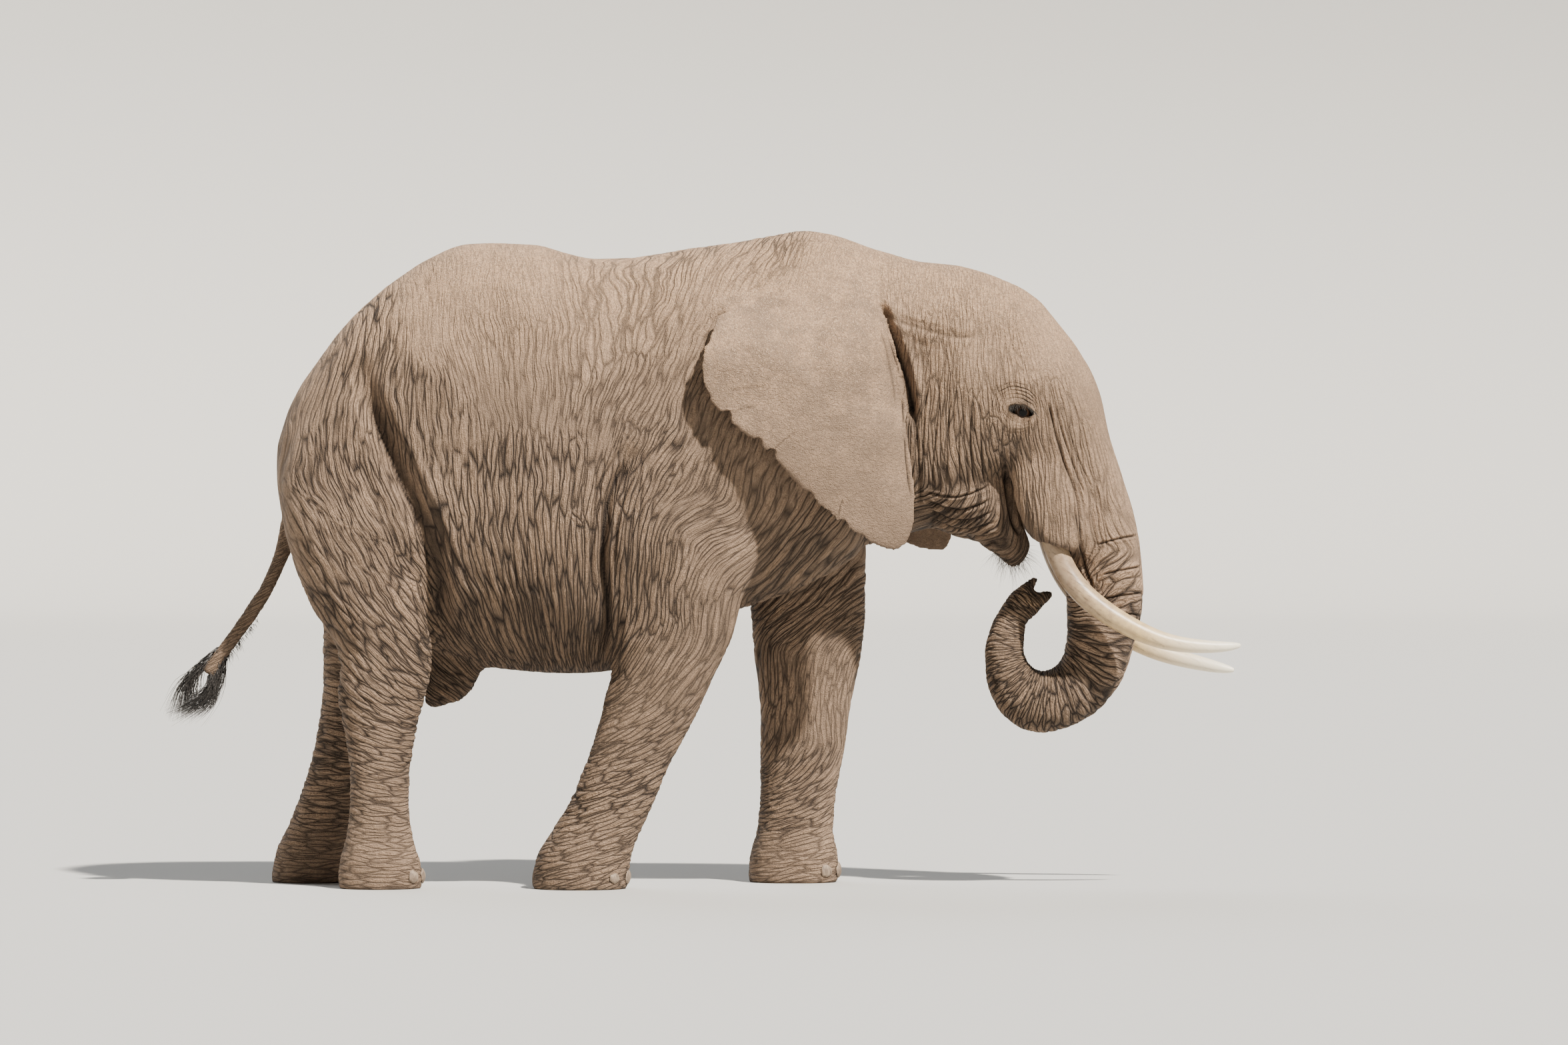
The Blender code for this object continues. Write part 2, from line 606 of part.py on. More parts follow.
# ---- parting -------------------------------------------------------------------------------------
def slab(name, outline, y_low, y_high, grow):
    """A prism over an outline in x, z, from one y to another, grown outwards by `grow`."""
    area = sum(a[0] * b[1] - b[0] * a[1] for a, b in zip(outline, outline[1:] + outline[:1]))
    turn = 1 if area > 0 else -1
    grown = []
    count = len(outline)
    for k, (x, z) in enumerate(outline):
        before = Vector(outline[k - 1])
        after = Vector(outline[(k + 1) % count])
        here = Vector((x, z))
        first = (here - before).normalized()
        second = (after - here).normalized()
        out_first = Vector((first.y, -first.x)) * turn
        out_second = Vector((second.y, -second.x)) * turn
        bisector = (out_first + out_second).normalized()
        grown.append(here + bisector * grow / max(bisector.dot(out_first), 0.3))
    points = [(p.x, y_low - grow, p.y) for p in grown] + [(p.x, y_high + grow, p.y) for p in grown]
    faces = [tuple(range(count)), tuple(range(2 * count - 1, count - 1, -1))]
    faces += [(k, (k + 1) % count, count + (k + 1) % count, count + k) for k in range(count)]
    thing = add_mesh(name, points, faces)
    shaped = bmesh.new()
    shaped.from_mesh(thing.data)
    bmesh.ops.recalc_face_normals(shaped, faces=shaped.faces)
    shaped.to_mesh(thing.data)
    shaped.free()
    return thing


def keep_largest(thing):
    """Drop every loose bit of a mesh but the one with the most faces."""
    shaped = bmesh.new()
    shaped.from_mesh(thing.data)
    shaped.faces.ensure_lookup_table()
    unseen = set(shaped.faces)
    islands = []
    while unseen:
        stack = [next(iter(unseen))]
        unseen.discard(stack[0])
        island = []
        while stack:
            face = stack.pop()
            island.append(face)
            for edge in face.edges:
                for neighbour in edge.link_faces:
                    if neighbour in unseen:
                        unseen.discard(neighbour)
                        stack.append(neighbour)
        islands.append(island)
    islands.sort(key=lambda island: -sum(face.calc_area() for face in island))
    spare = [face for island in islands[1:] for face in island]
    bmesh.ops.delete(shaped, geom=spare, context="FACES")
    shaped.to_mesh(thing.data)
    shaped.free()
    return thing


def tidy(thing):
    """Merge the slivers that a cut leaves and make triangles."""
    shaped = bmesh.new()
    shaped.from_mesh(thing.data)
    bmesh.ops.dissolve_degenerate(shaped, dist=0.00005, edges=shaped.edges)
    bmesh.ops.triangulate(shaped, faces=shaped.faces)
    shaped.to_mesh(thing.data)
    shaped.free()
    return thing


def part_off(body, name, outline, y_low=-1.5, y_high=1.5):
    """Take the flesh inside a prism off the body as a piece of its own."""
    piece = copy_of(body, name)
    region = slab("region", outline, y_low, y_high, 0)
    boolean(piece, region, "INTERSECT")
    remove(region)
    around = slab("around", outline, y_low, y_high, GAP)
    boolean(body, around, "DIFFERENCE")
    remove(around)
    keep_largest(piece)
    keep_largest(body)
    return piece


def trunk_outline(first, last, reach=0.03):
    """The outline of one length of the trunk, between two rows of its table."""
    ahead = [(row[0], row[1]) for row in HEAD_AND_TRUNK[first:last + 1]]
    behind = [(row[2], row[3]) for row in HEAD_AND_TRUNK[first:last + 1]]
    wide = []
    for own, other in list(zip(ahead, behind)) + list(zip(behind, ahead))[::-1]:
        away = Vector((own[0] - other[0], own[1] - other[1])).normalized()
        wide.append((own[0] + away.x * reach, own[1] + away.y * reach))
    return tuple(wide)


def grown_copy(thing, distance):
    points, normals = vertex_arrays(thing.data)
    twin = copy_of(thing, thing.name + "_grown")
    twin.data.vertices.foreach_set("co", (points + normals * distance).ravel())
    twin.data.update()
    return twin


def finish(thing, name, look):
    tidy(thing)
    thing.name = name
    thing.data.name = name
    thing.data.materials.clear()
    thing.data.materials.append(look)
    for polygon in thing.data.polygons:
        polygon.use_smooth = True
    return thing


# ---- fitted pieces -------------------------------------------------------------------------------
def ear_outline_points():
    """The outline as a closed, evenly spaced Catmull-Rom curve."""
    corners = [Vector(p) for p in EAR_OUTLINE]
    dense = []
    count = len(corners)
    for k in range(count):
        a, b, c, d = (corners[(k + step) % count] for step in (-1, 0, 1, 2))
        for t in np.linspace(0, 1, 12, endpoint=False):
            dense.append(0.5 * (2 * b + (c - a) * t + (2 * a - 5 * b + 4 * c - d) * t * t
                                + (3 * b - a - 3 * c + d) * t ** 3))
    lengths = [0.0]
    for before, after in zip(dense, dense[1:] + dense[:1]):
        lengths.append(lengths[-1] + (after - before).length)
    xs = [p.x for p in dense] + [dense[0].x]
    zs = [p.y for p in dense] + [dense[0].y]
    at = np.linspace(0, lengths[-1], EAR_POINTS, endpoint=False)
    return list(zip(np.interp(at, lengths, xs), np.interp(at, lengths, zs)))


def ease(value, low, high):
    t = min(max((value - low) / (high - low), 0.0), 1.0)
    return t * t * (3 - 2 * t)


def ear_offset(x, z):
    """How far out from the mid-plane the middle of the ear lies."""
    heights, edges = zip(*EAR_FRONT_EDGE)
    back = max(np.interp(z, heights, edges) - x, 0.0)
    low, full, still, end = EAR_ROOT_HEIGHTS
    rooted = ease(z, low, full) * (1 - ease(z, still, end))
    edge, nearer = EAR_ROOT_OFFSET
    step, more, length = EAR_STEP
    out = edge - nearer * rooted + (step + more * rooted) * (1 - math.exp(-back / length))
    out += EAR_SPREAD * back + EAR_BELLY * math.sin(math.pi * min(back, 1.0)) * ease(z, 1.7, 2.2)
    folded = ease(z, *EAR_FOLD)
    middle, half_height, half_width = NAPE
    nape = half_width * math.sqrt(max(1 - ((z - middle) / half_height) ** 2, 0.0))
    return out * (1 - folded) + nape * folded


def ear(side, body):
    outline = ear_outline_points()
    centre = Vector(EAR_CENTRE)
    rings = []
    for scale in EAR_RINGS:
        thick = EAR_MIDDLE + (EAR_EDGE - EAR_MIDDLE) * scale ** 3
        ring = []
        for x, z in outline:
            spot = centre + (Vector((x, z)) - centre) * scale
            ring.append((spot.x, spot.y, thick))
        rings.append(ring)
    points = []
    for direction in (1, -1):
        for ring in rings:
            points += [(x, ear_offset(x, z) + direction * thick / 2, z) for x, z, thick in ring]
        points.append((centre.x, ear_offset(*centre) + direction * EAR_MIDDLE / 2, centre.y))
    per_side = len(rings) * EAR_POINTS + 1
    faces = []
    for sheet, turned in ((0, False), (per_side, True)):
        for r in range(len(rings) - 1):
            for k in range(EAR_POINTS):
                after = (k + 1) % EAR_POINTS
                inner, outer = sheet + r * EAR_POINTS, sheet + (r + 1) * EAR_POINTS
                quad = (inner + k, inner + after, outer + after, outer + k)
                faces.append(quad[::-1] if turned else quad)
        for k in range(EAR_POINTS):
            fan = (sheet + per_side - 1, sheet + (k + 1) % EAR_POINTS, sheet + k)
            faces.append(fan if turned else fan[::-1])
    rim = (len(rings) - 1) * EAR_POINTS
    for k in range(EAR_POINTS):
        after = (k + 1) % EAR_POINTS
        faces.append((rim + k, rim + after, per_side + rim + after, per_side + rim + k))
    piece = add_mesh("ear", points, faces)
    if side > 0:
        hinge = Vector(EAR_HINGE)
        swing = Matrix.Rotation(-LEFT_EAR_SWING, 4, "Z") @ Matrix.Rotation(LEFT_EAR_PITCH, 4, "Y")
        lowered = hinge - Vector((0, 0, LEFT_EAR_DROP))
        piece.data.transform(Matrix.Translation(lowered) @ swing @ Matrix.Translation(-hinge))
    else:
        piece.data.transform(Matrix.Scale(-1, 4, (0, 1, 0)))
    shaped = bmesh.new()
    shaped.from_mesh(piece.data)
    bmesh.ops.recalc_face_normals(shaped, faces=shaped.faces)
    shaped.to_mesh(piece.data)
    shaped.free()
    boolean(piece, body, "DIFFERENCE")
    return keep_largest(piece)


def eye_centre(head, side):
    """A point under the skin of the head at the eye's place in side view."""
    tree = BVHTree.FromPolygons([v.co for v in head.data.vertices],
                                [tuple(p.vertices) for p in head.data.polygons])
    x, z = EYE_PLACE
    skin = tree.ray_cast(Vector((x, side * 2.0, z)), Vector((0, -side, 0)))[0]
    return skin - Vector((0, side * EYE_DEPTH, 0))


def tusk(side, rows):
    table = smooth_rows(rows, 15)
    centres = [Vector((x, side * offset, z)) for x, offset, z, radius in table]
    halves = [(radius, radius) for x, offset, z, radius in table]
    return path_loft("tusk", centres, halves, TUSK_SIDES)


def ball(centre, half_sizes, columns, rows, turn=0.0):
    shaped = bmesh.new()
    bmesh.ops.create_uvsphere(shaped, u_segments=columns, v_segments=rows, radius=1.0)
    place = (Matrix.Translation(centre) @ Matrix.Rotation(turn, 4, "Z")
             @ Matrix.Diagonal((*half_sizes, 1)))
    bmesh.ops.transform(shaped, matrix=place, verts=shaped.verts)
    mesh = bpy.data.meshes.new("ball")
    shaped.to_mesh(mesh)
    shaped.free()
    thing = bpy.data.objects.new("ball", mesh)
    bpy.context.scene.collection.objects.link(thing)
    return thing


def socket(piece, fitted):
    """Make room in a piece for one that sits in it."""
    room = grown_copy(fitted, GAP * 1.5)
    boolean(piece, room, "DIFFERENCE")
    remove(room)
    keep_largest(piece)


def nails(leg, rows, side, toes, look, name):
    """Toenails laid on the front of a foot."""
    count, spread = toes
    grown = grown_copy(leg, GAP)
    levels = smooth_rows(rows, 60)
    z, front, rear, offset, half_width = levels[np.argmin(np.abs(levels[:, 0] - NAIL_HEIGHT))]
    centre = Vector(((front + rear) / 2, side * offset, NAIL_HEIGHT))
    for k in range(count):
        angle = spread * (k - (count - 1) / 2)
        away = Vector((math.cos(angle) * (front - rear) / 2, math.sin(angle) * half_width, 0))
        nail = ball(centre + away * (1 - NAIL_INSET), NAIL_SIZE, 8, 5, math.atan2(away.y, away.x))
        boolean(nail, grown, "DIFFERENCE")
        keep_largest(nail)
        finish(nail, f"{name}_{k + 1}", look)
    remove(grown)


# ---- the model -----------------------------------------------------------------------------------
def build():
    clear_scene()
    hide = material("elephant_hide", HIDE_COLOUR, 0.85)
    ivory = material("ivory", IVORY_COLOUR, 0.35)
    eye_look = material("eye", EYE_COLOUR, 0.08)
    nail_look = material("toenail", NAIL_COLOUR, 0.6)
    hair = material("tail_hair", HAIR_COLOUR, 0.7)

    body = fused_body()
    grown = grown_copy(body, GAP)
    ears = {"right": ear(-1, grown), "left": ear(1, grown)}
    tail = mid_plane_path("tail", TAIL, 13, TAIL_SIDES)
    boolean(tail, grown, "DIFFERENCE")
    keep_largest(tail)
    remove(grown)

    for name, first, last in TRUNK_CUTS:
        outline = trunk_outline(first, last)
        if name == "trunk_tip":
            outline = outline[:4] + FINGERS_CUT + outline[5:]
        finish(part_off(body, name, outline), name, hide)

    legs = (
        ("front_right", FORE_RIGHT, -1, FORE_TOES, FORE_RIGHT_CUT),
        ("front_left", FORE_LEFT, 1, FORE_TOES, FORE_LEFT_CUT),
        ("hind_right", HIND_RIGHT, -1, HIND_TOES, HIND_CUT),
        ("hind_left", HIND_LEFT, 1, HIND_TOES, HIND_CUT),
    )
    for name, rows, side, toes, outline in legs:
        low, high = sorted((side * LEG_INNER, side * 1.5))
        leg = part_off(body, f"leg_{name}", outline, low, high)
        nails(leg, rows, side, toes, nail_look, f"nail_{name}")
        finish(leg, f"leg_{name}", hide)

    jaw = part_off(body, "lower_jaw", JAW_CUT)
    base = part_off(body, "trunk_base", TRUNK_BASE_CUT)
    head = part_off(body, "head", HEAD_CUT)
    neck = part_off(body, "neck", NECK_CUT)

    for side, word, rows in ((-1, "right", TUSK_RIGHT), (1, "left", TUSK_LEFT)):
        horn = tusk(side, rows)
        socket(base, horn)
        socket(head, horn)
        finish(horn, f"tusk_{word}", ivory)
        eye = ball(eye_centre(head, side), (EYE_RADIUS,) * 3, 12, 8)
        socket(head, eye)
        finish(eye, f"eye_{word}", eye_look)
        finish(ears[word], f"ear_{word}", hide)

    for piece, name in ((jaw, "lower_jaw"), (base, "trunk_base"), (head, "head"), (neck, "neck"),
                        (body, "torso")):
        finish(piece, name, hide)

    finish(part_off(tail, "tail_end", TAIL_CUT), "tail_end", hide)
    finish(tail, "tail_base", hide)
    finish(mid_plane_path("brush", BRUSH, 9, TAIL_SIDES), "tail_brush", hair)

    for piece in bpy.data.objects:
        piece.data.transform(Matrix.Translation((0, MID_PLANE, 0)))


build()
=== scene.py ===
"""Looks of the elephant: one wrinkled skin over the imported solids, with eyes, tusks, nails and hair."""

import json
import math

import bmesh
import bpy
import numpy as np
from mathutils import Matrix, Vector
from mathutils.bvhtree import BVHTree

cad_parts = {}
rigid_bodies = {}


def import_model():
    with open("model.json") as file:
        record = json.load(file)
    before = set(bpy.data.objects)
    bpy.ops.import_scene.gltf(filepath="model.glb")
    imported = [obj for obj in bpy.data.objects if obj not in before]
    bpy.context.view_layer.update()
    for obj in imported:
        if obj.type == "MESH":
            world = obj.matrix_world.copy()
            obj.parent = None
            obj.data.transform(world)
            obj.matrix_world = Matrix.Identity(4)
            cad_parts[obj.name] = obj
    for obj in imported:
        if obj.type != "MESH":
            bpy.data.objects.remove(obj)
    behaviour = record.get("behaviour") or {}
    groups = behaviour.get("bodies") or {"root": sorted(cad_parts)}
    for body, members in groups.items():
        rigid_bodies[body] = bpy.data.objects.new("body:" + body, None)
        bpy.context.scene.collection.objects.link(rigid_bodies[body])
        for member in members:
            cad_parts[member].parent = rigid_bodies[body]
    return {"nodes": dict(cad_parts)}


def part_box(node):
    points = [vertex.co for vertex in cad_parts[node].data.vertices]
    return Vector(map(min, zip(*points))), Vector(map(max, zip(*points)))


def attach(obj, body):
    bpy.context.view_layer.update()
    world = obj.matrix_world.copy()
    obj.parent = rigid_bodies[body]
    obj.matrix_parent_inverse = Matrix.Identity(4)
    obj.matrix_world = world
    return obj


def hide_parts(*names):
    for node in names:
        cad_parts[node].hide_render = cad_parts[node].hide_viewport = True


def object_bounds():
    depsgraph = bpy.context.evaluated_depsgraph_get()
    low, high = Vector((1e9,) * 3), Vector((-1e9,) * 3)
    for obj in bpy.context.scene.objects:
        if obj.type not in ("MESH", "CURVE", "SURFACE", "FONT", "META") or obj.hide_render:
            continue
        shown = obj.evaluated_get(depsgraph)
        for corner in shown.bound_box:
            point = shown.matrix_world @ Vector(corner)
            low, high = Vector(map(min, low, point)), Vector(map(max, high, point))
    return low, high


for thing in list(bpy.data.objects):
    bpy.data.objects.remove(thing)
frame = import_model()
CAD_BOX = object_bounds()

# ---- measures, metres ------------------------------------------------------------------------------
ROOT = "root"
NODES = frame["nodes"]
BODY_WORDS = ("torso", "neck", "head", "lower_jaw", "trunk_", "leg_")
BODY_NODES = [node for node in sorted(NODES) if node.startswith(BODY_WORDS)]
EAR_NODES = ["ear_left", "ear_right"]
TAIL_NODES = ["tail_base", "tail_end"]
FLESH = BODY_NODES + EAR_NODES + TAIL_NODES
MID_PLANE = sum(corner.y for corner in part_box("tail_brush")) / 2

OVERLAP = 0.0012          # by which neighbouring nodes are grown together
COARSE_VOXEL = 0.016      # grain of the body while its facets are smoothed away
SKIN_VOXEL = 0.0089       # grain of the skin; the head is twice as fine, the lids eight times
BODY_ROUNDS = 26          # of smoothing of the body
GIRTH_ROUNDS = 14         # of smoothing of what is given back, so that the body keeps its girth
MELTING_ROUNDS = 900      # of smoothing where the ears melt into the neck
ROOT_REACH = 0.006        # how near the body the roots of ears and tail lie
ROOT_DEPTH = 0.025        # how deep they sink into it

# The trunk's middle line in the side view, from the brow to the tip: x, z
TRUNK_LINE = (
    (1.60, 2.40), (1.66, 2.22), (1.75, 1.96), (1.84, 1.72), (1.895, 1.50), (1.918, 1.35), (1.905, 1.17),
    (1.868, 1.033), (1.806, 0.945), (1.724, 0.888), (1.626, 0.862), (1.539, 0.888), (1.478, 0.953),
    (1.448, 1.033), (1.443, 1.123), (1.461, 1.223), (1.509, 1.312), (1.600, 1.380),
)

# The top of the right ear, where it melts into the neck: x, z
EAR_ROOT = ((0.120, 2.770), (0.280, 2.780), (0.460, 2.785), (0.620, 2.805), (0.760, 2.850))

# Nicks in the right ear's edge: place x, z, the way in, reach and depth
EAR_NICKS = (
    ((0.012, 2.470), (1.0, 0.1), 0.030, 0.010),
    ((0.036, 2.309), (1.0, 0.3), 0.034, 0.014),
    ((0.134, 2.211), (0.6, 0.8), 0.040, 0.032),
    ((0.279, 2.088), (0.5, 0.85), 0.030, 0.030),
    ((0.345, 2.035), (0.3, 0.95), 0.032, 0.036),
    ((0.520, 1.850), (0.5, 0.85), 0.040, 0.010),
    ((0.672, 1.701), (0.4, 0.9), 0.034, 0.034),
    ((0.760, 1.630), (0.3, 0.95), 0.040, 0.010),
)

# The two fingers of the trunk's tip: x, z, radius
FINGERS = (
    ((1.520, 1.345, 0.046), (1.541, 1.383, 0.038), (1.562, 1.412, 0.027), (1.580, 1.433, 0.021),
     (1.592, 1.444, 0.015)),
    ((1.560, 1.315, 0.046), (1.592, 1.334, 0.040), (1.622, 1.354, 0.032), (1.645, 1.367, 0.026),
     (1.661, 1.374, 0.018)),
)

FINGER_WIDTH = 1.25       # how much wider than thick a finger is
FINGER_FORK = (1.64, 1.43)  # a point ahead of the notch between the fingers: x, z

# Eyes: the opening between the lids, and the ball in it
OPENING = (0.060, 0.027)  # half-length and half-height
EYE_TILT = math.radians(14)
LID_SPREAD = (0.058, 0.090)  # by which the outermost lid fold is longer and higher than the opening
LID_BACK = 0.030          # by which it lies further back
SOCKET_DEPTH = 0.030      # how far the skin within the opening sinks
DOME_HEIGHT = 0.015       # how far lids and brow stand out over the ball
RIM_HEIGHT = 0.006        # of the lids' edge
CREASE_DEPTH = 0.0048     # between the lid folds
POUCH_HEIGHT = 0.006      # under the eye
BALL_RADIUS = 0.058
BALL_PROUD = 0.004        # by which the ball stands out from the smooth head
SKIN_TO_EYE = 0.027       # from the smooth head to the middle of the frame's eye
CORNEA_BULGE = 0.035      # share of the ball's radius by which the cornea stands out
GAZE = (0.18, -0.12)      # how far the gaze turns ahead and up
SIDES = (("right", -1), ("left", 1))  # and which way each faces across the body

TUSK_GROWN = 0.0022       # by which the frame's tusks and nails are grown before they are rounded off
NAIL_GROWN = 0.005
NAIL_VOXEL = 0.0042
NAIL_ROUNDS = 22

# Wrinkles: spacing of the folds where the density below is 1
COARSE_CELL = 0.056
MAIN_CELL = 0.027
FINE_CELL = 0.0105
DENSER = (1.75, 0.80, 0.80)  # the denser copy of the wrinkle map: across, along and outwards
FOREMOST_OF_TAIL = -1.2   # the ears lie ahead of it

# How high the coarse, main and fine cells stand, and how far the warps move folds and the ears' rims
COARSE_HEIGHT = 0.0100
MAIN_HEIGHT = 0.0052
FINE_HEIGHT = 0.0010
CELL_MEAN = 0.75          # share of a cell's height that is taken off, so that the body keeps its girth
FOLD_SWAY = 0.055
SMALL_SWAY = 0.009
EAR_WAVE = 0.030
RIM_WAVE = 0.045

